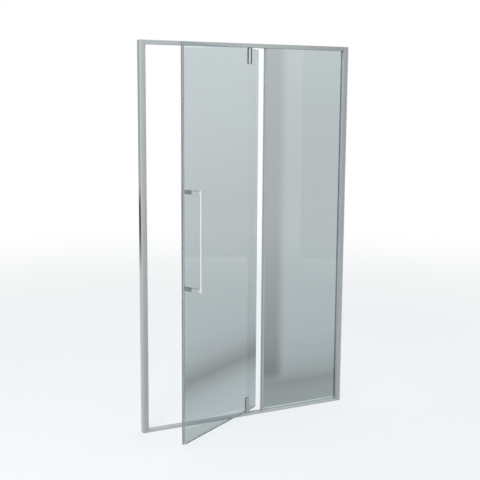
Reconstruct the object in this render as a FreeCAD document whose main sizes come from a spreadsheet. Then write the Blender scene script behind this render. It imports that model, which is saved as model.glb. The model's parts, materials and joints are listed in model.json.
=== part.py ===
import FreeCAD, Part
import os
import re

import Sketcher
from FreeCAD import Rotation, Vector

# A framed pivot shower door with a fixed side light, seen from outside the shower.
# Millimetres. X runs to the right, Y into the shower and Z up. The origin is the middle of the
# sill's underside. Letters in a piece's own frame: u is the distance from the wall.

DRIVING_SIZES = {
    # outer frame
    "frame_width": 1170.0,
    "frame_height": 1950.0,
    "frame_depth": 34.0,
    "channel_reveal": 9.0,
    "jamb_width": 17.0,
    "leg_wall": 1.6,
    "web_wall": 1.8,
    "corner_round": 0.8,
    "nest_clearance": 0.2,
    "channel_leg": 20.0,
    "channel_web": 2.2,
    "wall_hole_radius": 2.6,
    "wall_hole_inset": 150.0,
    "end_cap_thickness": 2.0,
    "end_cap_plug": 6.0,
    "plug_slack": 0.3,
    # rails and their screw ports
    "head_height": 20.0,
    "head_groove_depth": 14.0,
    "head_chamber_top": 10.0,
    "sill_height": 10.0,
    "sill_groove_depth": 6.4,
    "sill_bevel": 1.5,
    "groove_width": 12.0,
    "groove_wall": 1.4,
    "jamb_groove_depth": 13.0,
    "port_half": 1.9,
    "head_port_drop": 5.6,
    "groove_slack": 0.1,
    "infill_wall": 1.2,
    "infill_height": 6.2,
    "butt_slack": 0.2,
    "drill_over": 0.5,
    # screws
    "corner_screw_head": 3.2,
    "corner_screw_head_height": 2.4,
    "corner_screw_length": 16.0,
    "screw_slack": 0.05,
    "clearance_slack": 0.2,
    "lock_screw_radius": 1.75,
    "lock_screw_head": 3.5,
    "lock_screw_head_height": 2.0,
    "lock_screw_length": 7.0,
    "lock_screw_inset": 300.0,
    "lock_cap_radius": 5.5,
    "lock_cap_height": 3.2,
    "lock_cap_wall": 1.0,
    "post_screw_radius": 1.25,
    "post_screw_head": 2.8,
    "post_screw_head_height": 2.2,
    "post_screw_grip": 20.0,
    "head_recess": 0.2,
    # closing post between the doorway and the side light
    "doorway_width": 651.5,
    "post_width": 10.0,
    "post_depth": 20.0,
    "post_groove_width": 9.2,
    "post_groove_depth": 7.5,
    "post_port_wall": 0.2,
    "tail_gap": 4.0,
    "tail_seal_width": 10.0,
    "tail_seal_base": 1.0,
    "tail_seal_lip": 3.0,
    "tail_seal_nose": 1.2,
    # glass
    "glass_thickness": 6.0,
    "gasket_bed": 2.0,
    "leaf_head_gap": 5.5,
    "leaf_sill_gap": 15.0,
    "hinge_tail": 82.0,
    "door_open_angle": 29.7,
    # pivot hinges
    "barrel_radius": 13.25,
    "barrel_length": 80.0,
    "barrel_bevel": 1.5,
    "barrel_head_gap": 1.0,
    "core_width": 15.2,
    "core_length": 67.0,
    "notch_slack": 0.5,
    "notch_round": 4.0,
    "liner_thickness": 1.0,
    "liner_margin": 0.3,
    "pin_radius": 4.0,
    "pin_grip": 40.0,
    "pin_end_gap": 0.5,
    "press_clearance": 0.02,
    "bush_clearance": 0.04,
    "washer_radius": 12.0,
    "washer_thickness": 1.7,
    "washer_bore_slack": 0.3,
    "running_gap": 0.3,
    "clamp_screw_radius": 2.4,
    "clamp_screw_head": 4.2,
    "clamp_screw_head_height": 3.0,
    "clamp_screw_reach": 12.0,
    "clamp_screw_inset": 7.0,
    "clamp_screw_spacing": 12.0,
    "clamp_seat": 5.5,
    "block_length": 44.0,
    "block_screw_offset": 15.5,
    "block_screw_radius": 2.0,
    # seals
    "seal_wall": 1.8,
    "seal_clip_depth": 9.0,
    "edge_magnet_width": 7.0,
    "edge_magnet_depth": 6.0,
    "closing_gap": 1.5,
    "strike_width": 9.0,
    "strike_magnet_width": 6.0,
    "strike_magnet_thickness": 7.0,
    "strike_wall": 1.9,
    "strike_neck": 3.0,
    "strike_foot_width": 6.8,
    "strike_foot_thickness": 1.4,
    "strike_pocket_depth": 3.0,
    "strike_pocket_wall": 1.2,
    "drip_clip_height": 8.0,
    "drip_blade": 1.4,
    "drip_blade_lean": 3.0,
    "drip_sill_gap": 5.0,
    # handle pair
    "handle_inset": 60.0,
    "handle_hole_height": 773.0,
    "handle_spacing": 465.0,
    "handle_standoff": 56.0,
    "bar_width": 9.0,
    "bar_depth": 6.5,
    "arm_height": 20.0,
    "handle_bend": 7.0,
    "handle_edge": 2.4,
    "handle_washer_radius": 10.0,
    "handle_washer_thickness": 1.0,
    "handle_hole_radius": 6.0,
    "stud_radius": 3.0,
    "stud_grip": 12.0,
    "stud_end_slack": 0.5,
    "grub_radius": 2.0,
    "grub_length": 4.5,
    "grub_distance": 7.0,
}

WORKED_OUT_SIZES = {
    "half_width": "frame_width / 2",
    "half_depth": "frame_depth / 2",
    "jamb_face": "channel_reveal + jamb_width",
    "jamb_height": "frame_height - end_cap_thickness",
    "leg_inside": "half_depth - leg_wall",
    "web_back": "jamb_face - web_wall",
    "channel_half": "leg_inside - nest_clearance",
    "channel_inside": "channel_half - leg_wall",
    "wall_hole_span": "frame_height - 2 * wall_hole_inset",
    "groove_half": "groove_width / 2",
    "groove_back": "groove_half + groove_wall",
    "jamb_groove_floor": "jamb_face - jamb_groove_depth",
    "rail_half": "half_width - jamb_face",
    "head_low": "frame_height - head_height",
    "port_y": "(groove_back + leg_inside) / 2",
    "sill_port_z": "sill_height / 2",
    "head_port_z": "frame_height - head_port_drop",
    "head_groove_top": "head_low + head_groove_depth",
    "sill_groove_floor": "sill_height - sill_groove_depth",
    "corner_screw_radius": "port_half - screw_slack",
    "web_hole_radius": "port_half + clearance_slack",
    "lock_u": "(channel_reveal + channel_leg) / 2",
    "lock_hole_radius": "lock_screw_radius + screw_slack",
    "strip_half": "groove_half - groove_slack",
    "plug_half": "channel_inside - plug_slack",
    "plug_end": "jamb_groove_floor - groove_wall - plug_slack",
    "post_left": "doorway_width - rail_half",
    "post_groove_half": "post_groove_width / 2",
    "post_drill_radius": "post_screw_radius + screw_slack",
    "post_port_y": "groove_half + post_drill_radius + post_port_wall",
    "post_middle": "post_width / 2",
    "post_length": "head_low - sill_height",
    "edge_set": "2 * groove_slack + gasket_bed",
    "glass_half": "glass_thickness / 2",
    "gasket_inside": "glass_half + groove_slack",
    "side_light_left": "post_left + post_width - post_groove_depth + edge_set",
    "side_light_right": "half_width - jamb_groove_floor - edge_set",
    "side_light_low": "sill_groove_floor + edge_set",
    "side_light_high": "head_groove_top - edge_set",
    "infill_end": "side_light_left - butt_slack",
    "pivot_x": "post_left - tail_gap - hinge_tail",
    "edge_seal_reach": "3 * groove_slack + 2 * seal_wall + edge_magnet_width",
    "strike_proud": "2 * strike_wall + strike_magnet_thickness + 2 * groove_slack",
    "leaf_reach": "pivot_x + rail_half - strike_proud - closing_gap - edge_seal_reach",
    "leaf_low": "sill_height + leaf_sill_gap",
    "leaf_high": "head_low - leaf_head_gap",
    "barrel_low": "sill_height + washer_thickness + running_gap",
    "barrel_high": "head_low - barrel_head_gap",
    "slot_half": "glass_half + liner_thickness",
    "core_half": "core_width / 2",
    "notch_half": "core_half + notch_slack",
    "core_round": "notch_round - notch_slack",
    "notch_low": "barrel_low + core_length + notch_slack",
    "notch_high": "barrel_high - core_length - notch_slack",
    "liner_half": "sqrt(barrel_radius ^ 2 - slot_half ^ 2) - liner_margin",
    "bush_radius": "pin_radius + bush_clearance",
    "clamp_low": "core_length - clamp_screw_inset - clamp_screw_spacing",
    "clamp_high": "core_length - clamp_screw_inset",
    "block_half": "block_length / 2",
    "seal_inside": "glass_half + groove_slack",
    "seal_outside": "seal_inside + seal_wall",
    "edge_clip_end": "leaf_reach - seal_clip_depth",
    "magnet_start": "leaf_reach + groove_slack + seal_wall",
    "strike_half": "strike_width / 2",
    "pocket_half": "strike_foot_width / 2 + groove_slack",
    "neck_half": "strike_neck / 2",
    "slot_mouth": "neck_half + groove_slack",
    "pocket_floor": "web_back - strike_pocket_depth",
    "drip_end": "barrel_radius + butt_slack",
    "handle_x": "leaf_reach - handle_inset",
    "handle_high": "handle_hole_height + handle_spacing",
    "arm_half": "arm_height / 2",
    "arm_start": "glass_half + handle_washer_thickness",
    "bar_outside": "handle_standoff + bar_depth / 2",
    "bar_inside": "handle_standoff - bar_depth / 2",
    "stud_end": "arm_start + stud_grip",
    "grub_y": "arm_start + grub_distance",
}

LEFT, RIGHT = 1, -1
SIGNS = (-1, 1)
FIXING_SIDES = 8
DISC_SIDES = 16
TURNS = {
    "+x": Rotation(Vector(0, 1, 0), 90),
    "-x": Rotation(Vector(0, 1, 0), -90),
    "+y": Rotation(Vector(1, 0, 0), -90),
    "-y": Rotation(Vector(1, 0, 0), 90),
    "+z": Rotation(),
    "-z": Rotation(Vector(1, 0, 0), 180),
}

doc = FreeCAD.newDocument("pivot_shower_door")
sheet = doc.addObject("Spreadsheet::Sheet", "Sizes")
for row, (alias, size) in enumerate(DRIVING_SIZES.items(), start=1):
    sheet.set(f"A{row}", alias)
    sheet.set(f"B{row}", str(size))
    sheet.setAlias(f"B{row}", alias)
doc.recompute()
nodes = []


# ---------------------------------------------------------------- sizes as expressions

def bound(text):
    """Turn a size written in plain words into an expression on the sheet."""
    def spell(match):
        word = match.group(0)
        if word in WORKED_OUT_SIZES:
            return "(" + bound(WORKED_OUT_SIZES[word]) + ")"
        return "Sizes." + word if word in DRIVING_SIZES else word
    return re.sub(r"[a-z][a-z_]+", spell, str(text))


def value(text):
    return float(sheet.evalExpression(bound(text)))


def set_size(thing, field, text):
    thing.setExpression(field, bound(text))


def sorted_range(first, second):
    return (first, second) if value(first) < value(second) else (second, first)


# ---------------------------------------------------------------- sketches and features

def constrain(sketch, kind, arguments, text):
    """Add one dimension to the sketch and tie it to its size."""
    index = sketch.addConstraint(Sketcher.Constraint(kind, *arguments, value(text)))
    sketch.setExpression(f"Constraints[{index}]", bound(text))


def pin_point(sketch, item, end, place):
    constrain(sketch, "DistanceX", (-1, 1, item, end), place[0])
    constrain(sketch, "DistanceY", (-1, 1, item, end), place[1])


def spot(place):
    return Vector(value(place[0]), value(place[1]), 0)


def stepped(place, towards, length):
    """The point a length away from a square corner, on the side that leads to another corner."""
    here, there = spot(place), spot(towards)
    moved = []
    for axis in (0, 1):
        gap = there[axis] - here[axis]
        sign = 0 if abs(gap) < 1e-6 else (1 if gap > 0 else -1)
        moved.append(f"{place[axis]} + {sign} * ({length})")
    return tuple(moved)


def draw_outline(sketch, corners):
    """Draw a closed outline: each corner is (u, v), or (u, v, radius) for a rounded square one."""
    count = len(corners)
    joints = []
    for index, corner in enumerate(corners):
        before, after = corners[index - 1], corners[(index + 1) % count]
        place = corner[:2]
        if len(corner) == 2:
            joints.append((place, place, None))
            continue
        start = stepped(place, before, corner[2])
        end = stepped(place, after, corner[2])
        joints.append((start, end, (place, corner[2])))
    lines = []
    for index in range(count):
        start, end = joints[index][1], joints[(index + 1) % count][0]
        lines.append(sketch.addGeometry(Part.LineSegment(spot(start), spot(end)), False))
        pin_point(sketch, lines[-1], 1, start)
    for index, (start, end, rounding) in enumerate(joints):
        arriving, leaving = lines[index - 1], lines[index]
        if rounding is None:
            sketch.addConstraint(Sketcher.Constraint("Coincident", arriving, 2, leaving, 1))
            continue
        pin_point(sketch, arriving, 2, start)
        draw_corner(sketch, spot(start), spot(end), rounding, (arriving, leaving))


def draw_corner(sketch, start, end, rounding, lines):
    """Round a square corner between two lines that already end at its tangent points."""
    place, radius = rounding
    corner = spot(place)
    centre = start + end - corner
    middle = centre + (corner - centre).normalize() * value(radius)
    arc = sketch.addGeometry(Part.Arc(start, middle, end), False)
    swapped = sketch.getPoint(arc, 1).distanceToPoint(start) > 1e-6
    first, last = (2, 1) if swapped else (1, 2)
    sketch.addConstraint(Sketcher.Constraint("Coincident", lines[0], 2, arc, first))
    sketch.addConstraint(Sketcher.Constraint("Coincident", lines[1], 1, arc, last))
    constrain(sketch, "Radius", (arc,), radius)


def draw_circle(sketch, circle):
    """Draw a circle given as ("circle", u, v, radius)."""
    place, radius = circle[1:3], circle[3]
    item = sketch.addGeometry(Part.Circle(spot(place), Vector(0, 0, 1), value(radius)), False)
    pin_point(sketch, item, 3, place)
    constrain(sketch, "Radius", (item,), radius)


def new_sketch(body, plane, low, high, outlines):
    """A sketch on one of the body's own planes, moved to where a pad or pocket starts."""
    planes = {part.Role: part for part in body.Origin.OriginFeatures}
    sketch = body.newObject("Sketcher::SketchObject", body.Name + "_sketch")
    sketch.AttachmentSupport = [(planes[plane], "")]
    sketch.MapMode = "FlatFace"
    # the XZ plane looks along -Y, so its features start at their high side
    start = f"-({high})" if plane == "XZ_Plane" else low
    set_size(sketch, "AttachmentOffset.Base.z", start)
    for outline in outlines:
        if outline[0] == "circle":
            draw_circle(sketch, outline)
        else:
            draw_outline(sketch, outline)
    return sketch


def add(body, plane, low, high, *outlines):
    """Pad closed outlines from low to high along the axis square to the plane."""
    pad = body.newObject("PartDesign::Pad", body.Name + "_pad")
    pad.Profile = new_sketch(body, plane, low, high, outlines)
    set_size(pad, "Length", f"({high}) - ({low})")
    doc.recompute()


def cut(body, plane, low, high, *outlines):
    """Pocket closed outlines from low to high, and make sure that this took something away."""
    before = body.Shape.Volume
    pocket = body.newObject("PartDesign::Pocket", body.Name + "_pocket")
    pocket.Profile = new_sketch(body, plane, low, high, outlines)
    set_size(pocket, "Length", f"({high}) - ({low})")
    pocket.Reversed = True
    doc.recompute()
    if body.Shape.Volume > before - 1e-6:
        raise ValueError(f"a cut in {body.Label} removes nothing")


def dress(body, kind, size_field, size, wanted):
    """Fillet or chamfer the edges of the body that the wanted test picks."""
    base = body.Tip
    names = [f"Edge{number}" for number, edge in enumerate(base.Shape.Edges, start=1) if wanted(edge)]
    if not names:
        raise ValueError(f"no edges to dress on {body.Label}")
    feature = body.newObject("PartDesign::" + kind, body.Name + "_" + kind.lower())
    feature.Base = (base, names)
    set_size(feature, size_field, size)
    doc.recompute()


def new_body(label):
    body = doc.addObject("PartDesign::Body", label)
    body.Label = label
    nodes.append(body)
    return body


def box(low_u, low_v, high_u, high_v, radius=None):
    corners = [(low_u, low_v), (high_u, low_v), (high_u, high_v), (low_u, high_v)]
    return [corner + ((radius,) if radius else ()) for corner in corners]


def circle(u, v, radius):
    return ("circle", u, v, radius)


def mirrored(corners, flipped=1):
    """An open run of corners and its mirror image, which close an outline; flipped is u (0) or v (1)."""
    image = []
    for corner in corners[::-1]:
        place = list(corner)
        place[flipped] = f"-({place[flipped]})"
        image.append(tuple(place))
    return list(corners) + image


# ---------------------------------------------------------------- turned pieces

def turning(sides, place, direction, radius, start, end):
    """One step of a turned piece, from start to end along a direction from a place on its axis.

    It is round where sides is 0. A small fixing that repeats is a prism of few sides instead.
    """
    axis = "xyz".index(direction[1])
    if sides:
        solid = doc.addObject("Part::Prism", "turning")
        solid.Polygon = sides
        set_size(solid, "Circumradius", radius)
    else:
        solid = doc.addObject("Part::Cylinder", "turning")
        set_size(solid, "Radius", radius)
    set_size(solid, "Height", f"({end}) - ({start})")
    solid.Placement = FreeCAD.Placement(Vector(), TURNS[direction])
    for index, field in enumerate("xyz"):
        text = place[index]
        if index == axis:
            text = f"({text}) {direction[0]} ({start})"
        set_size(solid, f"Placement.Base.{field}", text)
    return solid


def turned(place, direction, step, bore=None, sides=0):
    """A plain turned piece: one (radius, start, end), less its bore."""
    piece = turning(sides, place, direction, *step)
    if bore is None:
        return piece
    drilled = doc.addObject("Part::Cut", "drilled_piece")
    drilled.Base = piece
    drilled.Tool = turning(sides, place, direction, *bore)
    return drilled


def screw(place, direction, kind, length):
    """A plain screw: the place is the middle of the seat under its head."""
    head = turning(FIXING_SIDES, place, direction, f"{kind}_head", f"-{kind}_head_height", "0")
    shank = turning(FIXING_SIDES, place, direction, f"{kind}_radius", "0", length)
    fuse = doc.addObject("Part::MultiFuse", "screw")
    fuse.Shapes = [head, shank]
    fuse.Refine = True
    return fuse


def group(label, pieces):
    """One node that holds separate turned pieces."""
    node = doc.addObject("Part::Compound", label)
    node.Links = pieces
    node.Label = label
    nodes.append(node)
    return node


# ---------------------------------------------------------------- where a piece stands

def stand(node, x="0", z="0", turn="0"):
    """Place a node by its own origin, and turn it about the upright."""
    set_size(node, "Placement.Base.x", x)
    set_size(node, "Placement.Base.z", z)
    set_size(node, "Placement.Rotation.Angle", turn)


def stand_on_wall(node, side):
    stand(node, x=f"-{side} * half_width", turn="0" if side == LEFT else "180")


def stand_on_door(node):
    """The leaf's own origin is on the pivot axis, so opening the door only turns it."""
    stand(node, x="pivot_x", turn="door_open_angle")


# ---------------------------------------------------------------- outer frame

def side_name(side):
    return "left" if side == LEFT else "right"


def lock_screw_heights():
    return ["lock_screw_inset", "frame_height - lock_screw_inset"]


def wall_hole_heights():
    return [f"wall_hole_inset + {step} * wall_hole_span / 3" for step in range(4)]


def corner_screw_places():
    return [(f"{sign} * port_y", z) for sign in SIGNS for z in ("sill_port_z", "head_port_z")]


def screw_channel(u, v, half):
    """A square channel along an extrusion that a screw cuts its own thread in."""
    return box(f"{u} - {half}", f"{v} - {half}", f"{u} + {half}", f"{v} + {half}")


def drill_leg(body, side, near, far):
    """Holes for the lock screws, through the leg on the shower side."""
    holes = [circle("lock_u", z, "lock_hole_radius") for z in lock_screw_heights()]
    low, high = f"{near} - drill_over", f"{far} + drill_over"
    if side == RIGHT:
        low, high = f"-({high})", f"-({low})"
    cut(body, "XZ_Plane", low, high, *holes)


def make_wall_channel(side):
    body = new_body(f"wall_channel_{side_name(side)}")
    half = [
        ("channel_web", "-channel_inside"),
        ("channel_leg", "-channel_inside"),
        ("channel_leg", "-channel_half"),
        ("0", "-channel_half"),
    ]
    add(body, "XY_Plane", "0", "jamb_height", mirrored(half))
    holes = [circle("0", z, "wall_hole_radius") for z in wall_hole_heights()]
    cut(body, "YZ_Plane", "-drill_over", "channel_web + drill_over", *holes)
    drill_leg(body, side, "channel_inside", "channel_half")
    stand_on_wall(body, side)


def strike_pocket():
    """The undercut slot in the left jamb: its back, and its mouth on the doorway side."""
    back = [
        ("pocket_floor - strike_pocket_wall", "-pocket_half - strike_pocket_wall"),
        ("web_back", "-pocket_half - strike_pocket_wall"),
    ]
    mouth = [
        ("jamb_face", "-slot_mouth"),
        ("web_back", "-slot_mouth"),
        ("web_back", "-pocket_half"),
        ("pocket_floor", "-pocket_half"),
    ]
    return back, mouth


def glazing_groove():
    """The groove in the right jamb that takes the side light."""
    back = [("jamb_groove_floor - groove_wall", "-groove_back"), ("web_back", "-groove_back")]
    mouth = [("jamb_face", "-groove_half"), ("jamb_groove_floor", "-groove_half")]
    return back, mouth


def make_jamb(side):
    """The jamb wraps over the wall channel, and its web carries the strike seal or the side light."""
    body = new_body(f"jamb_{side_name(side)}")
    back, mouth = strike_pocket() if side == LEFT else glazing_groove()
    leg = [
        ("web_back", "-leg_inside"),
        ("channel_reveal", "-leg_inside"),
        ("channel_reveal", "-half_depth"),
        ("jamb_face", "-half_depth", "corner_round"),
    ]
    add(body, "XY_Plane", "0", "jamb_height", mirrored(back + leg + mouth))
    holes = [circle(y, z, "web_hole_radius") for y, z in corner_screw_places()]
    cut(body, "YZ_Plane", "web_back - drill_over", "jamb_face + drill_over", *holes)
    drill_leg(body, side, "leg_inside", "half_depth")
    stand_on_wall(body, side)


def make_jamb_cap(side):
    body = new_body(f"jamb_cap_{side_name(side)}")
    plate = box("0", "-half_depth", "jamb_face", "half_depth")
    add(body, "XY_Plane", "jamb_height", "frame_height", plate)
    plug = box("channel_web + plug_slack", "-plug_half", "plug_end", "plug_half")
    add(body, "XY_Plane", "jamb_height - end_cap_plug", "jamb_height", plug)
    stand_on_wall(body, side)


def drill_rail(body, low, high, face, recess):
    """The recessed hole for the closing post's screw."""
    place = ("post_left + post_middle", "post_port_y")
    cut(body, "XY_Plane", low, high, circle(*place, "post_drill_radius"))
    cut(body, "XY_Plane", *sorted_range(face, recess), circle(*place, "post_screw_head + clearance_slack"))


def make_head_rail():
    """Grooved rail with two chambers and, above them, the channels for the corner screws."""
    body = new_body("head_rail")
    half = [
        ("-groove_half", "head_groove_depth"),
        ("-groove_half", "0"),
        ("-half_depth", "0", "corner_round"),
        ("-half_depth", "head_height", "corner_round"),
    ]
    chambers = [
        box("groove_back", "leg_wall", "leg_inside", "head_chamber_top"),
        box("-leg_inside", "leg_wall", "-groove_back", "head_chamber_top"),
    ]
    port_z = "head_height - head_port_drop"
    ports = [screw_channel(f"{sign} * port_y", port_z, "port_half") for sign in SIGNS]
    add(body, "YZ_Plane", "-rail_half", "rail_half", mirrored(half, flipped=0), *chambers, *ports)
    drill_rail(
        body,
        "-drill_over",
        "head_height + drill_over",
        "head_height + drill_over",
        "head_height - head_recess - post_screw_head_height",
    )
    stand(body, z="head_low")


def make_sill_rail():
    """Low threshold with a bevel to shed water and a groove along its top."""
    body = new_body("sill_rail")
    half = [
        ("-groove_half", "sill_groove_floor"),
        ("-groove_half", "sill_height"),
        ("sill_bevel - half_depth", "sill_height"),
        ("-half_depth", "sill_height - sill_bevel"),
        ("-half_depth", "0"),
    ]
    ports = [screw_channel(f"{sign} * port_y", "sill_port_z", "port_half") for sign in SIGNS]
    add(body, "YZ_Plane", "-rail_half", "rail_half", mirrored(half, flipped=0), *ports)
    drill_rail(
        body,
        "-drill_over",
        "sill_height + drill_over",
        "-drill_over",
        "head_recess + post_screw_head_height",
    )
    stand(body)


def make_infill(label, outline, rail_z):
    """Clip-in strips that close a rail's groove over the doorway, either side of the pivot block."""
    body = new_body(label)
    block_gap = "block_half + butt_slack"
    add(body, "YZ_Plane", "butt_slack - rail_half", f"pivot_x - ({block_gap})", outline)
    add(body, "YZ_Plane", f"pivot_x + {block_gap}", "infill_end", outline)
    stand(body, z=rail_z)


def infill_outline(face, edge, inward):
    """A U with its web on the rail's open face; inward is the sign of the way into the groove."""
    half = [
        ("-strip_half", face),
        ("-strip_half", edge),
        ("infill_wall - strip_half", edge),
        ("infill_wall - strip_half", f"{face} + {inward} * infill_wall"),
    ]
    return mirrored(half, flipped=0)


def make_rail_infills():
    make_infill("head_infill", infill_outline("0", "infill_height", 1), "head_low")
    sill_edge = "sill_groove_floor + butt_slack"
    make_infill("sill_infill", infill_outline("sill_height", sill_edge, -1), "0")


def make_corner_screws():
    pieces = []
    for side in (LEFT, RIGHT):
        seat = f"-{side} * (half_width - web_back)"
        inward = "+x" if side == LEFT else "-x"
        for y, z in corner_screw_places():
            pieces.append(screw((seat, y, z), inward, "corner_screw", "corner_screw_length"))
    stand(group("corner_screws", pieces))


def lock_screw_places():
    sides = [f"{sign} * (half_width - lock_u)" for sign in SIGNS]
    return [(x, "half_depth", z) for x in sides for z in lock_screw_heights()]


def make_lock_screws():
    """Screws through jamb and wall channel that hold the width once it is set, under snap caps."""
    screws = [screw(place, "-y", "lock_screw", "lock_screw_length") for place in lock_screw_places()]
    stand(group("jamb_lock_screws", screws))
    shell = ("lock_cap_radius", "-lock_cap_height", "0")
    hollow = ("lock_cap_radius - lock_cap_wall", "lock_cap_wall - lock_cap_height", "drill_over")
    caps = [turned(place, "-y", shell, hollow, DISC_SIDES) for place in lock_screw_places()]
    stand(group("lock_screw_caps", caps))


# ---------------------------------------------------------------- closing post and side light

def make_closing_post():
    body = new_body("closing_post")
    half = [
        ("post_width - post_groove_depth", "-post_groove_half"),
        ("post_width", "-post_groove_half"),
        ("post_width", "-post_depth / 2", "corner_round"),
        ("0", "-post_depth / 2", "corner_round"),
    ]
    port = screw_channel("post_middle", "post_port_y", "post_drill_radius")
    add(body, "XY_Plane", "0", "post_length", mirrored(half), port)
    stand(body, x="post_left", z="sill_height")


def make_post_screws():
    seat_depth = "(head_recess + post_screw_head_height)"
    x, y = "post_left + post_middle", "post_port_y"
    low_length = f"sill_height + post_screw_grip - {seat_depth}"
    high_length = f"head_height + post_screw_grip - {seat_depth}"
    low = screw((x, y, seat_depth), "+z", "post_screw", low_length)
    high = screw((x, y, f"frame_height - {seat_depth}"), "-z", "post_screw", high_length)
    stand(group("post_screws", [low, high]))


def make_tail_seal():
    """Soft fin on the post that closes the gap to the leaf's hinge-side edge."""
    body = new_body("tail_seal")
    half = [
        ("0", "-tail_seal_width / 2"),
        ("-tail_seal_base", "-tail_seal_width / 2"),
        ("-tail_seal_lip", "-tail_seal_nose / 2"),
    ]
    add(body, "XY_Plane", "0", "post_length", mirrored(half))
    stand(body, x="post_left", z="sill_height")


def make_side_light():
    body = new_body("side_light_glass")
    pane = box("side_light_left", "side_light_low", "side_light_right", "side_light_high")
    add(body, "XZ_Plane", "-glass_half", "glass_half", pane)
    stand(body)


def gasket_outline(floor, mouth, inward, outside, flipped=1):
    """A U around the edge of the side light, from the groove's floor to its mouth."""
    bed = f"{floor} + {inward} * (groove_slack + gasket_bed)"
    foot = f"{floor} + {inward} * groove_slack"
    half = [(bed, "-gasket_inside"), (mouth, "-gasket_inside"), (mouth, outside), (foot, outside)]
    if flipped == 0:
        half = [(v, u) for u, v in half]
    return mirrored(half, flipped)


def make_glazing_gaskets():
    jamb = new_body("gasket_jamb")
    outline = gasket_outline("jamb_groove_floor", "jamb_face", 1, "-strip_half")
    add(jamb, "XY_Plane", "sill_groove_floor", "head_groove_top", outline)
    stand_on_wall(jamb, RIGHT)
    post = new_body("gasket_post")
    floor = "post_width - post_groove_depth"
    outline = gasket_outline(floor, "post_width", 1, "groove_slack - post_groove_half")
    add(post, "XY_Plane", "0", "post_length", outline)
    stand(post, x="post_left", z="sill_height")
    head = new_body("gasket_head")
    outline = gasket_outline("head_groove_depth", "0", -1, "-strip_half", flipped=0)
    add(head, "YZ_Plane", "side_light_left", "rail_half", outline)
    stand(head, z="head_low")
    sill = new_body("gasket_sill")
    outline = gasket_outline("sill_groove_floor", "sill_height", 1, "-strip_half", flipped=0)
    add(sill, "YZ_Plane", "side_light_left", "rail_half", outline)
    stand(sill)


# ---------------------------------------------------------------- strike on the left jamb

def make_strike_seal():
    """Magnetic strike: a hollow strip whose foot slides into the jamb's undercut slot."""
    body = new_body("strike_seal")
    half = [
        ("jamb_face + strike_proud", "-strike_half"),
        ("jamb_face", "-strike_half"),
        ("jamb_face", "-neck_half"),
        ("web_back", "-neck_half"),
        ("web_back", "-strike_foot_width / 2"),
        ("web_back - strike_foot_thickness", "-strike_foot_width / 2"),
    ]
    room = "(strike_magnet_width / 2 + groove_slack)"
    chamber = box(
        "jamb_face + strike_wall",
        f"-{room}",
        "jamb_face + strike_wall + strike_magnet_thickness + 2 * groove_slack",
        room,
    )
    add(body, "XY_Plane", "sill_height", "head_low", mirrored(half), chamber)
    stand_on_wall(body, LEFT)
    magnet = new_body("strike_magnet")
    near = "jamb_face + strike_wall + groove_slack"
    far = f"{near} + strike_magnet_thickness"
    bar = box(near, "-strike_magnet_width / 2", far, "strike_magnet_width / 2")
    add(magnet, "XY_Plane", "sill_height", "head_low", bar)
    stand_on_wall(magnet, LEFT)


# ---------------------------------------------------------------- pivots

def make_pivot_block(end):
    """Bush block that fills the rail's groove under or over the leaf's pivot pin."""
    body = new_body(f"pivot_block_{end}")
    floor = "sill_groove_floor + groove_slack" if end == "low" else "head_groove_top - groove_slack"
    face = "sill_height" if end == "low" else "head_low"
    outline = box("-block_half", "-strip_half", "block_half", "strip_half")
    bush = circle("0", "0", "bush_radius")
    thread = circle("block_screw_offset", "0", "block_screw_radius + screw_slack")
    add(body, "XY_Plane", *sorted_range(face, floor), outline, bush, thread)
    stand(body, x="pivot_x")


def make_block_screws():
    """Grub screws through the blocks press on the groove's floor, so that a block is set along it."""
    low_step = ("block_screw_radius", "head_recess", "sill_groove_depth")
    high_step = ("block_screw_radius", "head_recess", "head_groove_depth")
    low = turned(("block_screw_offset", "0", "sill_height"), "-z", low_step, sides=FIXING_SIDES)
    high = turned(("block_screw_offset", "0", "head_low"), "+z", high_step, sides=FIXING_SIDES)
    stand(group("block_screws", [low, high]), x="pivot_x")


def make_thrust_washer():
    ring = ("washer_radius", "0", "washer_thickness")
    bore = ("bush_radius + washer_bore_slack", "-drill_over", "washer_thickness + drill_over")
    washer = turned(("0", "0", "sill_height"), "+z", ring, bore, DISC_SIDES)
    stand(group("thrust_washer", [washer]), x="pivot_x")


def hinge_height(end, distance):
    """The height of a place on a hinge, by its distance from the barrel's outer end."""
    return f"barrel_low + ({distance})" if end == "low" else f"barrel_high - ({distance})"


def hinge_range(end, first, last):
    return sorted_range(hinge_height(end, first), hinge_height(end, last))


def barrel_foot(end):
    """How far the glass edge lies inside the barrel's outer end."""
    return "(leaf_low - barrel_low)" if end == "low" else "(barrel_high - leaf_high)"


def make_barrel(label, end):
    """The full barrel, from which the body and the cover are cut."""
    body = new_body(label)
    add(body, "XY_Plane", *hinge_range(end, "0", "barrel_length"), circle("0", "0", "barrel_radius"))
    dress(body, "Chamfer", "Size", "barrel_bevel", lambda edge: edge.Curve.TypeId == "Part::GeomCircle")
    return body


def notch_outline(end, width, foot, height, side, top):
    """An inverted U: the part of the glass plane around the core that the glass passes through."""
    points = [
        (f"-({side})", foot),
        (f"-({width})", foot),
        (f"-({width})", height, "core_round"),
        (width, height, "core_round"),
        (width, foot),
        (side, foot),
        (side, top),
        (f"-({side})", top),
    ]
    return [(point[0], hinge_height(end, point[1])) + point[2:] for point in points]


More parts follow.
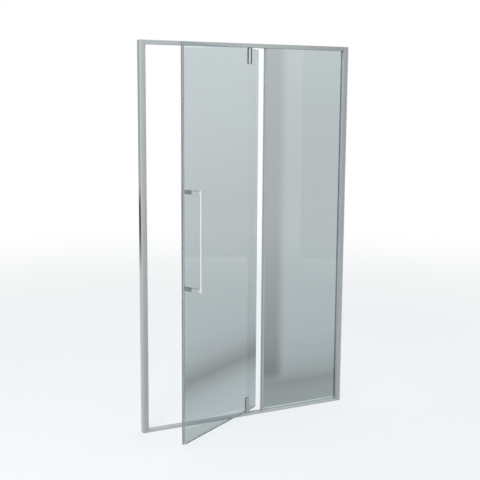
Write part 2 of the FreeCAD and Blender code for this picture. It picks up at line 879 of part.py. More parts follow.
def make_hinge_body(end):
    """Outer half of the barrel, with the core that fills the notch in the glass and holds the pin."""
    body = make_barrel(f"hinge_body_{end}", end)
    whole = hinge_range(end, "-drill_over", "barrel_length + drill_over")
    reach = "barrel_radius + drill_over"
    cut(body, "XY_Plane", *whole, box(f"-({reach})", "slot_half", reach, reach))
    foot = f"{barrel_foot(end)} - notch_slack"
    slot = notch_outline(end, "core_half", foot, "core_length", reach, "barrel_length + drill_over")
    cut(body, "XZ_Plane", "-slot_half", "slot_half", slot)
    bore = hinge_range(end, "-drill_over", "pin_grip + butt_slack")
    cut(body, "XY_Plane", *bore, circle("0", "0", "pin_radius + press_clearance"))
    holes = clamp_holes(end, "clamp_screw_radius + screw_slack")
    cut(body, "XZ_Plane", "slot_half - clamp_screw_reach - drill_over", "slot_half + drill_over", *holes)
    stand_on_door(body)


def clamp_holes(end, radius):
    return [circle("0", hinge_height(end, place), radius) for place in ("clamp_low", "clamp_high")]


def make_hinge_cover(end):
    """Inner half of the barrel, drawn onto the glass by two recessed screws."""
    body = make_barrel(f"hinge_cover_{end}", end)
    whole = hinge_range(end, "-drill_over", "barrel_length + drill_over")
    reach = "barrel_radius + drill_over"
    cut(body, "XY_Plane", *whole, box(f"-({reach})", f"-({reach})", reach, "slot_half"))
    holes = clamp_holes(end, "clamp_screw_radius + clearance_slack")
    cut(body, "XZ_Plane", "slot_half - drill_over", reach, *holes)
    seats = clamp_holes(end, "clamp_screw_head + clearance_slack")
    cut(body, "XZ_Plane", "slot_half + clamp_seat", reach, *seats)
    stand_on_door(body)


def make_clamp_screws():
    pieces = []
    for end in ("low", "high"):
        for place in ("clamp_low", "clamp_high"):
            seat = ("0", "slot_half + clamp_seat", hinge_height(end, place))
            pieces.append(screw(seat, "-y", "clamp_screw", "clamp_seat + clamp_screw_reach"))
    stand_on_door(group("clamp_screws", pieces))


def make_hinge_liners(end):
    """Soft pads between the clamp and both faces of the glass."""
    body = new_body(f"hinge_liners_{end}")
    top = "barrel_length - liner_margin"
    pad = notch_outline(end, "notch_half", barrel_foot(end), "core_length + notch_slack", "liner_half", top)
    add(body, "XZ_Plane", "-slot_half", "-glass_half", pad)
    add(body, "XZ_Plane", "glass_half", "slot_half", pad)
    stand_on_door(body)


def make_pivot_pin(end):
    far = "sill_groove_floor + pin_end_gap" if end == "low" else "head_groove_top - pin_end_gap"
    start = hinge_height(end, "pin_grip")
    length = f"{start} - ({far})" if end == "low" else f"{far} - ({start})"
    direction = "-z" if end == "low" else "+z"
    pin = turned(("0", "0", start), direction, ("pin_radius", "0", length))
    stand_on_door(group(f"pivot_pin_{end}", [pin]))


# ---------------------------------------------------------------- leaf

def make_door_glass():
    """One pane from the free edge to past the pivots, notched at both hinges."""
    body = new_body("door_glass")
    pane = [
        ("-leaf_reach", "leaf_low"),
        ("-notch_half", "leaf_low"),
        ("-notch_half", "notch_low", "notch_round"),
        ("notch_half", "notch_low", "notch_round"),
        ("notch_half", "leaf_low"),
        ("hinge_tail", "leaf_low"),
        ("hinge_tail", "leaf_high"),
        ("notch_half", "leaf_high"),
        ("notch_half", "notch_high", "notch_round"),
        ("-notch_half", "notch_high", "notch_round"),
        ("-notch_half", "leaf_high"),
        ("-leaf_reach", "leaf_high"),
    ]
    holes = [circle("-handle_x", z, "handle_hole_radius") for z in handle_hole_heights()]
    add(body, "XZ_Plane", "-glass_half", "glass_half", pane, *holes)
    stand_on_door(body)


def make_edge_seal():
    """Magnetic seal that clips over the leaf's free edge."""
    body = new_body("edge_seal")
    half = [
        ("-leaf_reach - groove_slack", "-seal_inside"),
        ("-edge_clip_end", "-seal_inside"),
        ("-edge_clip_end", "-seal_outside"),
        ("-leaf_reach - edge_seal_reach", "-seal_outside", "corner_round"),
    ]
    room = "(edge_magnet_depth / 2 + groove_slack)"
    chamber = box("-magnet_start - edge_magnet_width - 2 * groove_slack", f"-{room}", "-magnet_start", room)
    add(body, "XY_Plane", "leaf_low", "leaf_high", mirrored(half), chamber)
    stand_on_door(body)
    magnet = new_body("edge_magnet")
    near = "-magnet_start - groove_slack"
    bar = box(f"{near} - edge_magnet_width", "-edge_magnet_depth / 2", near, "edge_magnet_depth / 2")
    add(magnet, "XY_Plane", "leaf_low", "leaf_high", bar)
    stand_on_door(magnet)


def make_drip_seal():
    """Clip-on strip under the leaf, either side of the low hinge, with a blade that sheds water."""
    body = new_body("drip_seal")
    rim = "leaf_low + drip_clip_height"
    inside = "leaf_low - groove_slack"
    base = f"{inside} - seal_wall"
    tip = "sill_height + drip_sill_gap"
    outline = [
        ("-seal_inside", inside),
        ("-seal_inside", rim),
        ("-seal_outside", rim),
        ("-seal_outside", base),
        ("0", base),
        ("drip_blade_lean", tip),
        ("drip_blade_lean + drip_blade", tip),
        ("drip_blade", base),
        ("seal_outside", base),
        ("seal_outside", rim),
        ("seal_inside", rim),
        ("seal_inside", inside),
    ]
    add(body, "YZ_Plane", "butt_slack - edge_clip_end", "-drip_end", outline)
    add(body, "YZ_Plane", "drip_end", "hinge_tail", outline)
    stand_on_door(body)


# ---------------------------------------------------------------- handle pair

def handle_hole_heights():
    return ["handle_hole_height", "handle_high"]


def make_handle(label, face):
    """A square-cornered D: an upright bar on two deeper arms; face is -1 outside and 1 inside."""
    body = new_body(label)
    low, high = "handle_hole_height - arm_half", "handle_high + arm_half"
    start, outside, inside = [f"{face} * {place}" for place in ("arm_start", "bar_outside", "bar_inside")]
    outline = [
        (start, low),
        (outside, low, "handle_bend"),
        (outside, high, "handle_bend"),
        (start, high),
        (start, f"{high} - arm_height"),
        (inside, f"{high} - arm_height", "handle_bend / 2"),
        (inside, f"{low} + arm_height", "handle_bend / 2"),
        (start, f"{low} + arm_height"),
    ]
    add(body, "YZ_Plane", "-handle_x - bar_width / 2", "-handle_x + bar_width / 2", outline)
    dress(body, "Chamfer", "Size", "handle_edge", lambda edge: on_handle_side(edge, start))
    near, far = f"{face} * (arm_start - drill_over)", f"{face} * (stud_end + stud_end_slack)"
    studs = [circle("-handle_x", z, "stud_radius + screw_slack") for z in handle_hole_heights()]
    cut(body, "XZ_Plane", *sorted_range(near, far), *studs)
    if face == 1:
        for z in handle_hole_heights():
            hole = circle("-handle_x", "grub_y", "grub_radius + screw_slack")
            cut(body, "XY_Plane", f"{z} - arm_half - drill_over", z, hole)
    stand_on_door(body)


def on_handle_side(edge, start):
    """True for the long edges around the handle's two flat sides, but not at the glass."""
    sides = [value("-handle_x - bar_width / 2"), value("-handle_x + bar_width / 2")]
    ends = edge.Vertexes
    on_side = any(all(abs(end.X - side) < 1e-4 for end in ends) for side in sides)
    at_glass = all(abs(end.Y - value(start)) < 1e-4 for end in ends)
    return on_side and not at_glass


def make_handle_fixings():
    """Studs through the glass that join both handles, with sleeves, washers and grub screws."""
    places = [("-handle_x", "0", z) for z in handle_hole_heights()]
    bore = "stud_radius + groove_slack"
    rod = ("stud_radius", "-stud_end", "stud_end")
    studs = [turned(place, "+y", rod, sides=DISC_SIDES) for place in places]
    stand_on_door(group("handle_studs", studs))
    tube = ("handle_hole_radius - groove_slack", "-glass_half", "glass_half")
    tube_bore = (bore, "-glass_half - drill_over", "glass_half + drill_over")
    sleeves = [turned(place, "+y", tube, tube_bore, DISC_SIDES) for place in places]
    stand_on_door(group("handle_sleeves", sleeves))
    disc = ("handle_washer_radius", "glass_half", "arm_start")
    disc_bore = (bore, "glass_half - drill_over", "arm_start + drill_over")
    discs = [turned(place, way, disc, disc_bore, DISC_SIDES) for place in places for way in ("+y", "-y")]
    stand_on_door(group("handle_washers", discs))
    grubs = []
    for z in handle_hole_heights():
        seat = ("-handle_x", "grub_y", f"{z} - stud_radius - screw_slack - grub_length")
        grubs.append(turned(seat, "+z", ("grub_radius", "0", "grub_length"), sides=FIXING_SIDES))
    stand_on_door(group("handle_grub_screws", grubs))


# ---------------------------------------------------------------- whole door

def make_frame():
    for side in (LEFT, RIGHT):
        make_wall_channel(side)
        make_jamb(side)
        make_jamb_cap(side)
    make_head_rail()
    make_sill_rail()
    make_rail_infills()
    make_corner_screws()
    make_lock_screws()
    make_closing_post()
    make_post_screws()
    make_tail_seal()
    make_side_light()
    make_glazing_gaskets()
    make_strike_seal()
    for end in ("low", "high"):
        make_pivot_block(end)
    make_block_screws()
    make_thrust_washer()


def make_leaf():
    make_door_glass()
    for end in ("low", "high"):
        make_hinge_body(end)
        make_hinge_cover(end)
        make_hinge_liners(end)
        make_pivot_pin(end)
    make_clamp_screws()
    make_edge_seal()
    make_drip_seal()
    make_handle("handle_outer", -1)
    make_handle("handle_inner", 1)
    make_handle_fixings()


def check_document():
    doc.recompute()
    failed = [thing.Name for thing in doc.Objects if {"Invalid", "Error"} & set(thing.State)]
    if failed:
        raise ValueError(f"objects failed: {failed}")
    for node in nodes:
        if node.Shape.isNull() or not node.Shape.isValid() or not node.Shape.Solids:
            raise ValueError(f"{node.Label} has no valid solid")


make_frame()
make_leaf()
check_document()
os.makedirs("parts", exist_ok=True)
for node in nodes:
    node.Shape.exportStep(f"parts/{node.Label}.step")
print(f"{len(nodes)} nodes written")
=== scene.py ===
import json
import math

import bmesh
import bpy
from mathutils import Matrix, Vector


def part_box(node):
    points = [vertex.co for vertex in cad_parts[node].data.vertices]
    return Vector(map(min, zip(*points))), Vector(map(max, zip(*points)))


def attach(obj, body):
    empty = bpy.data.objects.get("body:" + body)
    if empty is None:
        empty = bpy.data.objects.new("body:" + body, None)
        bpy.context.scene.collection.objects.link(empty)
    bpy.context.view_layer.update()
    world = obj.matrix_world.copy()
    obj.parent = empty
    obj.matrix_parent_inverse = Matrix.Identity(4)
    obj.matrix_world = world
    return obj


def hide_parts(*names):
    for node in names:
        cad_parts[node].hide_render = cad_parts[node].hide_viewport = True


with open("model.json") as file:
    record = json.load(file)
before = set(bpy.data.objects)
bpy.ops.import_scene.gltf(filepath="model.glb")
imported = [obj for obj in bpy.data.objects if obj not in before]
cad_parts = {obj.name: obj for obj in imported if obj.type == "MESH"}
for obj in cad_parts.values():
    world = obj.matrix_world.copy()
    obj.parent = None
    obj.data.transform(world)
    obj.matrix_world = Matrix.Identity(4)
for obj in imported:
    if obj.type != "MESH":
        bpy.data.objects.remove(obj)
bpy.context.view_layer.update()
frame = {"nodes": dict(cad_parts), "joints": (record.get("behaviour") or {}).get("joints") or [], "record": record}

bl_info = {
    "name": "Pivot shower door",
    "version": (1, 0, 0),
    "blender": (4, 5, 0),
    "location": "3D View > Sidebar > Shower Door",
    "description": "Dresses the solids of a framed pivot shower door and sets up its studio",
    "category": "Object",
}

# The leaf has its own frame: x from the pivot towards the tail, y into the shower. It stands open at
# rest, so its pieces are drawn shut and turned by LEAF_TURN.
SWING = frame["joints"][0]
OPEN_ANGLE = -math.radians(SWING["range_deg"][0])
PIVOT = Vector((SWING["pos_m"][0], SWING["pos_m"][1], 0.0))
LEAF_TURN = Matrix.Translation(PIVOT) @ Matrix.Rotation(OPEN_ANGLE, 4, "Z")
BODY_FRAMES = {"frame": Matrix.Identity(4), "leaf": LEAF_TURN}
BODY_OF = {node: body for body, nodes in frame["record"]["behaviour"]["bodies"].items() for node in nodes}
HEAD_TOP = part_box("wall_channel_left")[1].z
MIDWAY = 1.0  # metres up: what is lower belongs to the sill, and what is higher to the head
MM = 0.001
X, Y, Z = range(3)
BLACK, WHITE = (0.0, 0.0, 0.0), (1.0, 1.0, 1.0)


# ---------------------------------------------------------------- node maths

class Wire:
    """A node's output socket. Adding, scaling and the like put Math nodes on it."""

    def __init__(self, graph, socket):
        self.graph, self.socket = graph, socket

    def maths(self, operation, *values, clamp=False):
        inputs = dict(enumerate((self, *values)))
        return self.graph.put("ShaderNodeMath", inputs, operation=operation, use_clamp=clamp)

    def __add__(self, other):
        return self.maths("ADD", other)

    def __mul__(self, other):
        return self.maths("MULTIPLY", other)

    def __sub__(self, other):
        return self.maths("SUBTRACT", other)

    def __rsub__(self, other):
        return (self * -1.0) + other

    def __truediv__(self, other):
        return self.maths("DIVIDE", other)

    def __rtruediv__(self, other):
        return self.graph.put("ShaderNodeMath", {0: other, 1: self}, operation="DIVIDE")

    def __neg__(self):
        return self * -1.0


class Graph:
    """A node tree with one method that adds any node, and a few for the usual ones."""

    def __init__(self, tree):
        self.tree = tree
        tree.nodes.clear()

    def put(self, kind, inputs=None, out=0, **settings):
        """Adds a node, makes its settings, then fills its sockets, and gives one output as a Wire."""
        node = self.tree.nodes.new(kind)
        for name, value in settings.items():
            setattr(node, name, value)
        for key, value in (inputs or {}).items():
            if isinstance(value, Wire):
                self.tree.links.new(value.socket, node.inputs[key])
            elif value is not None:
                node.inputs[key].default_value = value
        return Wire(self, node.outputs[out]) if len(node.outputs) else None

    def mix(self, factor, first, second, blend="MIX"):
        """Mixes two colours. A Mix node takes colours in its sockets 6 and 7, and gives one in output 2."""
        inputs = {0: factor, 6: rgba(first), 7: rgba(second)}
        return self.put("ShaderNodeMix", inputs, 2, data_type="RGBA", blend_type=blend)

    def ramp(self, value, start, end, low=0.0, easing="SMOOTHSTEP"):
        """Goes from low to 1 while value goes from start to end."""
        inputs = {"Value": value, "From Min": start, "From Max": end, "To Min": low}
        return self.put("ShaderNodeMapRange", inputs, interpolation_type=easing)

    def colour_ramp(self, share, stops):
        """The colour at a share between 0 and 1, through stops of (share, colour)."""
        wire = self.put("ShaderNodeValToRGB", {0: share})
        elements = wire.socket.node.color_ramp.elements
        while len(elements) > 1:
            elements.remove(elements[-1])
        elements[0].position = stops[0][0]
        elements[0].color = rgba(stops[0][1])
        for place, colour in stops[1:]:
            elements.new(place).color = rgba(colour)
        return wire

    def axis(self, name):
        """One axis of the piece's own coordinates, in metres."""
        place = self.put("ShaderNodeTexCoord", out="Object")
        return self.put("ShaderNodeSeparateXYZ", {0: place}, name)

    def grain(self, scale, stretch=WHITE, detail=2.0):
        """Noise on Object coordinates, drawn out along an axis by a small stretch there."""
        place = self.put("ShaderNodeTexCoord", out="Object")
        place = self.put("ShaderNodeMapping", {0: place, "Scale": stretch})
        inputs = {"Vector": place, "Scale": scale, "Detail": detail, "Roughness": 0.55}
        return self.put("ShaderNodeTexNoise", inputs, noise_dimensions="3D")

    def bumped(self, height, distance, strength):
        inputs = {"Height": height, "Distance": distance, "Strength": strength}
        return self.put("ShaderNodeBump", inputs)

    def ray(self, kind):
        """1 for one kind of ray, and 0 for the others."""
        return self.put("ShaderNodeLightPath", out=f"Is {kind} Ray")

    def seen(self):
        """1 for rays of sight, also those that gloss or glass sends on, and 0 for rays that gather light."""
        straight_or_gloss = self.ray("Camera").maths("MAXIMUM", self.ray("Glossy"))
        return straight_or_gloss.maths("MAXIMUM", self.ray("Transmission"))


def rgba(colour):
    return colour if isinstance(colour, Wire) else (*colour, 1.0)


def scaled(colour, share):
    return tuple(part * share for part in colour)


def linear(red, green, blue):
    """A screen colour from 0 to 255 as Blender's linear colour."""
    parts = [value / 255 for value in (red, green, blue)]
    return tuple(p / 12.92 if p <= 0.04045 else ((p + 0.055) / 1.055) ** 2.4 for p in parts)


# ---------------------------------------------------------------- what a user may change

def number_setting(name, description, value, **kind):
    return bpy.props.FloatProperty(name=name, description=description, default=value, **kind)


def length_setting(name, description, millimetres):
    kind = {"min": 0.0, "precision": 5, "unit": "LENGTH", "subtype": "DISTANCE"}
    return number_setting(name, description, millimetres * MM, **kind)


def angle_setting(name, description, degrees):
    return number_setting(name, description, math.radians(degrees), subtype="ANGLE")


def colour_setting(name, description, screen):
    return bpy.props.FloatVectorProperty(
        name=name, description=description, subtype="COLOR", size=3, min=0.0, max=1.0, default=linear(*screen)
    )


class DoorFinishes(bpy.types.PropertyGroup):
    """Colours of the door's materials."""

    frame_colour: colour_setting("Frame", "Satin anodised jambs, rails and post", (173, 178, 180))
    channel_colour: colour_setting("Wall channels", "Satin anodised wall channels", (186, 190, 192))
    chrome_colour: colour_setting("Chrome", "Plated hinges and caps", (206, 209, 212))
    handle_colour: colour_setting("Handles", "Satin plated pull handles", (236, 239, 240))
    steel_colour: colour_setting("Steel", "Stainless screws, studs and pins", (196, 198, 200))
    seal_colour: colour_setting("Seals", "Soft clear seals and washers", (206, 218, 218))
    rubber_colour: colour_setting("Gaskets", "Rubber glazing gaskets", (206, 210, 212))
    magnet_colour: colour_setting("Leaf magnet", "Magnetic strip in the leaf's edge seal", (206, 209, 211))
    # painted light: the strike's magnet is lighter than the leaf's, making up for the shade it stands in
    strike_painted_light_colour: colour_setting(
        "Strike magnet", "Magnetic strip in the strike on the jamb", (250, 250, 250)
    )
    plastic_colour: colour_setting("Grey plastic", "Moulded caps and infills", (188, 191, 193))
    bush_colour: colour_setting("Bushes", "Pivot blocks and thrust washer", (222, 223, 222))
    leaf_tint: colour_setting("Leaf glass", "What the leaf lets through near the head", (204, 213, 215))
    side_tint: colour_setting("Side light", "What the side light lets through near the head", (196, 205, 207))
    edge_tint: colour_setting("Glass edges", "What a polished edge lets through", (96, 116, 114))
    bound_tint: colour_setting(
        "Bound edges", "What a pane's edge in a seal or groove lets through", (206, 216, 216)
    )


class DoorFixings(bpy.types.PropertyGroup):
    """Sizes that the fixings share."""

    sides: bpy.props.IntProperty(name="Sides", description="Faces round a screw", default=24, min=8, max=64)
    thread_pitch: length_setting("Thread pitch", "Distance between a screw's threads", 0.9)
    thread_depth: length_setting("Thread depth", "How far a thread stands over the core", 0.28)
    drive_share: number_setting(
        "Drive", "Width of the drive over the head's width", 0.5, min=0.1, max=0.8, subtype="FACTOR"
    )
    arris: length_setting("Arris", "Small bevel on the panes' edges", 0.5)
    metal_edge: length_setting("Metal edge", "Small round on the profiles' edges", 0.35)


class DoorStudio(bpy.types.PropertyGroup):
    """Camera, floor and lamps."""

    lens: number_setting("Lens", "Focal length on a 36 mm sensor", 59.188, min=10.0, unit="CAMERA")
    shift_across: number_setting("Shift across", "Sideways lens shift", 0.07811)
    shift_up: number_setting("Shift up", "Upward lens shift", -0.04405)
    place: bpy.props.FloatVectorProperty(
        name="Place", description="Where the camera stands", subtype="TRANSLATION", unit="LENGTH", size=3,
        default=(-1.825394, -3.624386, 1.621704),
    )
    yaw: angle_setting("Yaw", "Turn to the right of +Y", 23.467)
    pitch: angle_setting("Pitch", "Tilt below the horizon", 7.886)
    world_light: number_setting("Sky", "Strength of the even light", 0.66, min=0.0, subtype="FACTOR")
    floor_colour: colour_setting("Floor", "Plain pale floor", (241, 244, 245))


# ---------------------------------------------------------------- meshes

WELD = 2e-6  # corners of a CAD mesh that are nearer than this are one corner
FLAT = math.radians(1.0)  # faces that differ by less are one face
PROFILE_SHARP = math.radians(32)
FIXING_SHARP = math.radians(35)


def new_object(name, data):
    """An object in the scene."""
    thing = bpy.data.objects.new(name, data)
    bpy.context.scene.collection.objects.link(thing)
    return thing


def stand_in(piece, node):
    """Puts a finished piece on its body, in place of its CAD node."""
    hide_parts(node)
    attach(piece, BODY_OF[node])


def welded(node, turn=None):
    """A CAD node's mesh with its corners joined, turned first if need be."""
    shape = bmesh.new()
    shape.from_mesh(frame["nodes"][node].data)
    if turn is not None:
        shape.transform(turn)
    bmesh.ops.remove_doubles(shape, verts=shape.verts, dist=WELD)
    return shape


def smoothed(mesh, sharp):
    """Shades a mesh smooth, up to the angle from which its edges show."""
    for face in mesh.polygons:
        face.use_smooth = True
    mesh.set_sharp_from_angle(angle=sharp)


def dressed(node, finishes, edge, rounds=2, pick=None):
    """Redraws a CAD node with small rounds on its sharp edges, and gives it its finishes.

    pick tells from a face's direction and middle, in its body's axes, which of the finishes it takes.
    """
    shape = welded(node)
    bmesh.ops.dissolve_limit(shape, angle_limit=FLAT, verts=shape.verts, edges=shape.edges)
    if pick:
        to_own = BODY_FRAMES[BODY_OF[node]].inverted()
        for face in shape.faces:
            face.material_index = pick(to_own.to_3x3() @ face.normal, to_own @ face.calc_center_median())
    mesh = bpy.data.meshes.new(f"{node}_finished")
    shape.to_mesh(mesh)
    shape.free()
    for finish in finishes:
        mesh.materials.append(finish)
    piece = new_object(mesh.name, mesh)
    if edge:
        bevel = piece.modifiers.new("edges", "BEVEL")
        bevel.width, bevel.segments = edge, rounds
        bevel.limit_method, bevel.angle_limit = "ANGLE", PROFILE_SHARP
        bevel.use_clamp_overlap = True
    smoothed(mesh, PROFILE_SHARP)
    stand_in(piece, node)


def solids(node):
    """The boxes of a node's separate solids, in its body's own axes, in a fixed order."""
    shape = welded(node, BODY_FRAMES[BODY_OF[node]].inverted())
    left, boxes = set(shape.verts), []
    while left:
        group, waiting = set(), [next(iter(left))]
        while waiting:
            corner = waiting.pop()
            if corner not in group:
                group.add(corner)
                waiting += [line.other_vert(corner) for line in corner.link_edges]
        left -= group
        places = [corner.co for corner in group]
        boxes.append(tuple(Vector([end(p[i] for p in places) for i in range(3)]) for end in (min, max)))
    shape.free()
    return sorted(boxes, key=lambda box: tuple(round(part, 4) for part in box[0]))


# ---------------------------------------------------------------- finishes

def new_finish(name):
    finish = bpy.data.materials.new(name)
    finish.use_nodes = True
    return finish, Graph(finish.node_tree)


def show(graph, shader):
    graph.put("ShaderNodeOutputMaterial", {"Surface": shader})


def show_principled(graph, inputs):
    show(graph, graph.put("ShaderNodeBsdfPrincipled", inputs))


# A painted dark reflection on the left wall channel's outer side: it starts, is full, is full still, and ends at
# these heights in metres.
PAINTED_REFLECTION_HEIGHTS = (0.80, 1.06, 1.14, 1.27)
PAINTED_REFLECTION_DEPTH = 0.86


def satin_aluminium(name, colour, along, painted_reflection=None):
    """Satin anodised aluminium with the fine lines that the extrusion die leaves along it, and a painted dark
    reflection between given heights.
    """
    finish, graph = new_finish(name)

    def drawn_out(share):
        return tuple(share if axis == along else 1.0 for axis in "XYZ")

    lines = graph.grain(1400.0, drawn_out(0.012), 3.0)
    cloud = graph.grain(9.0, drawn_out(0.35))
    tone = (cloud - 0.5) * 0.10 + (lines - 0.5) * 0.07 + 1.0
    pale = tuple(min(1.0, part * 1.25) for part in colour)
    shade = graph.mix((tone - 0.75) * 2.0, scaled(colour, 0.75), pale)
    if painted_reflection:
        height = graph.axis("Z")
        rise = graph.ramp(height, painted_reflection[0], painted_reflection[1])
        fall = graph.ramp(height, painted_reflection[3], painted_reflection[2])
        # painted reflection: the base colour turns dark between these heights
        shade = graph.mix(rise * fall * PAINTED_REFLECTION_DEPTH, shade, BLACK)
    show_principled(graph, {
        "Base Color": shade,
        "Metallic": 0.35,
        "Roughness": (lines - 0.5) * 0.16 + (cloud - 0.5) * 0.08 + 0.34,
        "Normal": graph.bumped(lines, 0.00002, 0.35),
        "Coat Weight": 0.5,
        "Coat Roughness": 0.12,
    })
    return finish


def chrome(name, colour):
    """Bright plating with a faint polish haze."""
    finish, graph = new_finish(name)
    haze = graph.grain(60.0, detail=4.0)
    swirl = graph.grain(900.0, (1.0, 1.0, 0.15))
    show_principled(graph, {
        "Base Color": graph.mix(haze, scaled(colour, 0.9), colour),
        "Metallic": 1.0,
        "Roughness": (haze - 0.5) * 0.06 + (swirl - 0.5) * 0.03 + 0.09,
        "Normal": graph.bumped(swirl, 0.000008, 0.2),
    })
    return finish


# How far the handles' arms end and their bars start from the middle of the pane, and the share of the plating's
# colour that painted shade leaves on the arms.
ARM_END, BAR_START = 48 * MM, 51 * MM
ARM_PAINTED_SHADE = 0.66


def satin_plate(name, colour):
    """Plating blasted to a soft sheen on the bars, with painted shade that darkens the arms carrying them."""
    finish, graph = new_finish(name)
    blast = graph.grain(1800.0, detail=3.0)
    haze = graph.grain(45.0, (1.0, 1.0, 0.3), 3.0)
    across, along = math.cos(OPEN_ANGLE), math.sin(OPEN_ANGLE)
    from_pane = graph.axis("Y") * across - (graph.axis("X") - PIVOT.x) * along
    # painted shade: the arms take a darker copy of the plating's colour
    painted_arm_shade = graph.ramp(from_pane.maths("ABSOLUTE"), ARM_END, BAR_START, ARM_PAINTED_SHADE, "LINEAR")
    plated = graph.mix(haze, scaled(colour, 0.92), colour)
    show_principled(graph, {
        "Base Color": graph.mix(painted_arm_shade, BLACK, plated),
        "Metallic": 0.4,
        "Roughness": (blast - 0.5) * 0.12 + 0.33,
        "Normal": graph.bumped(blast, 0.00001, 0.25),
    })
    return finish


def turned_steel(name, colour):
    """Stainless steel with turning marks and grubby low spots."""
    finish, graph = new_finish(name)
    marks = graph.grain(2600.0)
    soil = graph.grain(140.0, detail=3.0)
    show_principled(graph, {
        "Base Color": graph.mix(soil * 0.6, colour, scaled(colour, 0.55)),
        "Metallic": 1.0,
        "Roughness": (marks - 0.5) * 0.2 + soil * 0.12 + 0.24,
        "Normal": graph.bumped(marks, 0.00002, 0.4),
    })
    return finish


# Painted shade: how much a pane lets through at each height, as (share of the door's height, share of the tint).
LEAF_PAINTED_SHADE = (
    (0.0, 0.83), (0.06, 0.81), (0.11, 0.735), (0.14, 0.60), (0.167, 0.45), (0.22, 0.68), (0.27, 0.77),
    (0.34, 0.81), (0.47, 0.84), (0.6, 0.845), (0.72, 0.90), (0.85, 0.95), (1.0, 1.0),
)
SIDE_PAINTED_SHADE = (
    (0.0, 0.62), (0.05, 0.57), (0.075, 0.51), (0.10, 0.635), (0.15, 0.755), (0.21, 0.83), (0.29, 0.87),
    (0.38, 0.89), (0.5, 0.865), (0.7, 0.87), (0.84, 0.90), (1.0, 0.98),
)
RIM_PAINTED_SHADE = ((0.0, 0.75), (1.0, 1.0))

# Painted light and shade: where height plus slope times X goes from end to start, the tint changes to a share of
# its colour, as (slope, start, end, share).
LEAF_PAINTED_LINES = (
    # the first two lines are painted shade, the last painted light
    (0.196, 0.034, 0.046, 0.94),  # under a sloping line near the sill
    (0.196, 0.004, 0.014, 0.79),  # and deeper again towards the free corner
    (-0.0716, 1.935, 1.928, 1.25),  # along the head rail
)
# painted light along the foot
SIDE_PAINTED_LINES = ((0.0, 0.019, 0.025, 1.15),)  # along the foot

# Painted shade: the side light is darker beside the post. From the first place to the second the tint rises from
# the share to the whole. The strip deepens downwards, and comes in between two shares of the height.
POST_PAINTED_SHADE = (0.17, 0.24, 0.81)
PAINTED_STRIP_DEEPENING = 1.8
STRIP_START, STRIP_FULL = 0.075, 0.118


def safety_glass(name, tint, painted_depths, rim=False, strip=None, lines=()):
    """Toughened glass. Lamps shine through it, and painted shade deepens its tint towards the sill; given lines
    and strip add more painted light and shade.
    """
    finish, graph = new_finish(name)
    share = graph.axis("Z").maths("DIVIDE", HEAD_TOP, clamp=True)
    # painted shade: the tint darkens with height as the light behind the pane would
    body = graph.colour_ramp(share, [(place, scaled(tint, depth)) for place, depth in painted_depths])
    # painted shade beside the post
    if strip:
        rise = graph.ramp(graph.axis("X"), *strip)
        low = (1.0 - share).maths("POWER", 3.0)
        above = graph.ramp(share, STRIP_START, STRIP_FULL)
        body = graph.mix((1.0 - rise) * (low * PAINTED_STRIP_DEEPENING + 1.0) * above, body, BLACK)
    # painted light and shade along the given lines
    for slope, start, end, other in lines:
        kept = graph.ramp(graph.axis("X") * slope + graph.axis("Z"), start, end)
        body = graph.mix(kept, scaled(tint, other), body)
    haze = graph.grain(6.0, (1.0, 1.0, 0.5), 3.0)
    hazed = graph.mix(1.0, body, (0.93, 0.95, 0.95), "MULTIPLY")
    glass = graph.put("ShaderNodeBsdfPrincipled", {
        "Base Color": graph.mix((haze - 0.5) * 0.35 + 0.18, body, hazed),
        "Roughness": 0.12 if rim else 0.0,
        "IOR": 1.46,
        "Transmission Weight": 1.0,
    })
    clear = graph.put("ShaderNodeBsdfTransparent", {"Color": (0.86, 0.89, 0.89, 1.0)})
    show(graph, graph.put("ShaderNodeMixShader", {0: graph.ray("Shadow"), 1: glass, 2: clear}))
    return finish


def soft_clear(name, colour, alpha):
    """Soft clear vinyl, a little cloudy, with pull marks along its length."""
    finish, graph = new_finish(name)
    cloud = graph.grain(30.0, (1.0, 1.0, 0.1), 3.0)
    pull = graph.grain(1500.0, (1.0, 1.0, 0.02))
    show_principled(graph, {
        "Base Color": graph.mix(cloud, colour, scaled(colour, 0.82)),
        "Roughness": (cloud - 0.5) * 0.15 + 0.26,
        "Alpha": ((cloud - 0.5) * 0.5 + 1.0) * alpha,
        "Normal": graph.bumped(pull, 0.00003, 0.3),
        "Coat Weight": 0.2,
    })
    return finish


def moulded(name, colour, grain_scale, roughness, depth):
    """Moulded plastic or rubber with a fine skin."""
    finish, graph = new_finish(name)
    skin = graph.grain(grain_scale, detail=3.0)
    cloud = graph.grain(25.0)
    show_principled(graph, {
        "Base Color": graph.mix(cloud, scaled(colour, 0.88), colour),
        "Roughness": (skin - 0.5) * 0.2 + roughness,
        "Normal": graph.bumped(skin, depth, 0.5),
    })
    return finish


# painted light: the sill takes a lighter copy of the frame's colour
SILL_PAINTED_LIGHT = 1.16  # the sill's colour over the frame's
# painted shade: the handles' top faces take this share of the plating's colour
HANDLE_TOP_PAINTED_SHADE = 0.5
# painted shade: the seals' end faces and feet take this share of the vinyl's colour
SEAL_END_PAINTED_SHADE = 0.3


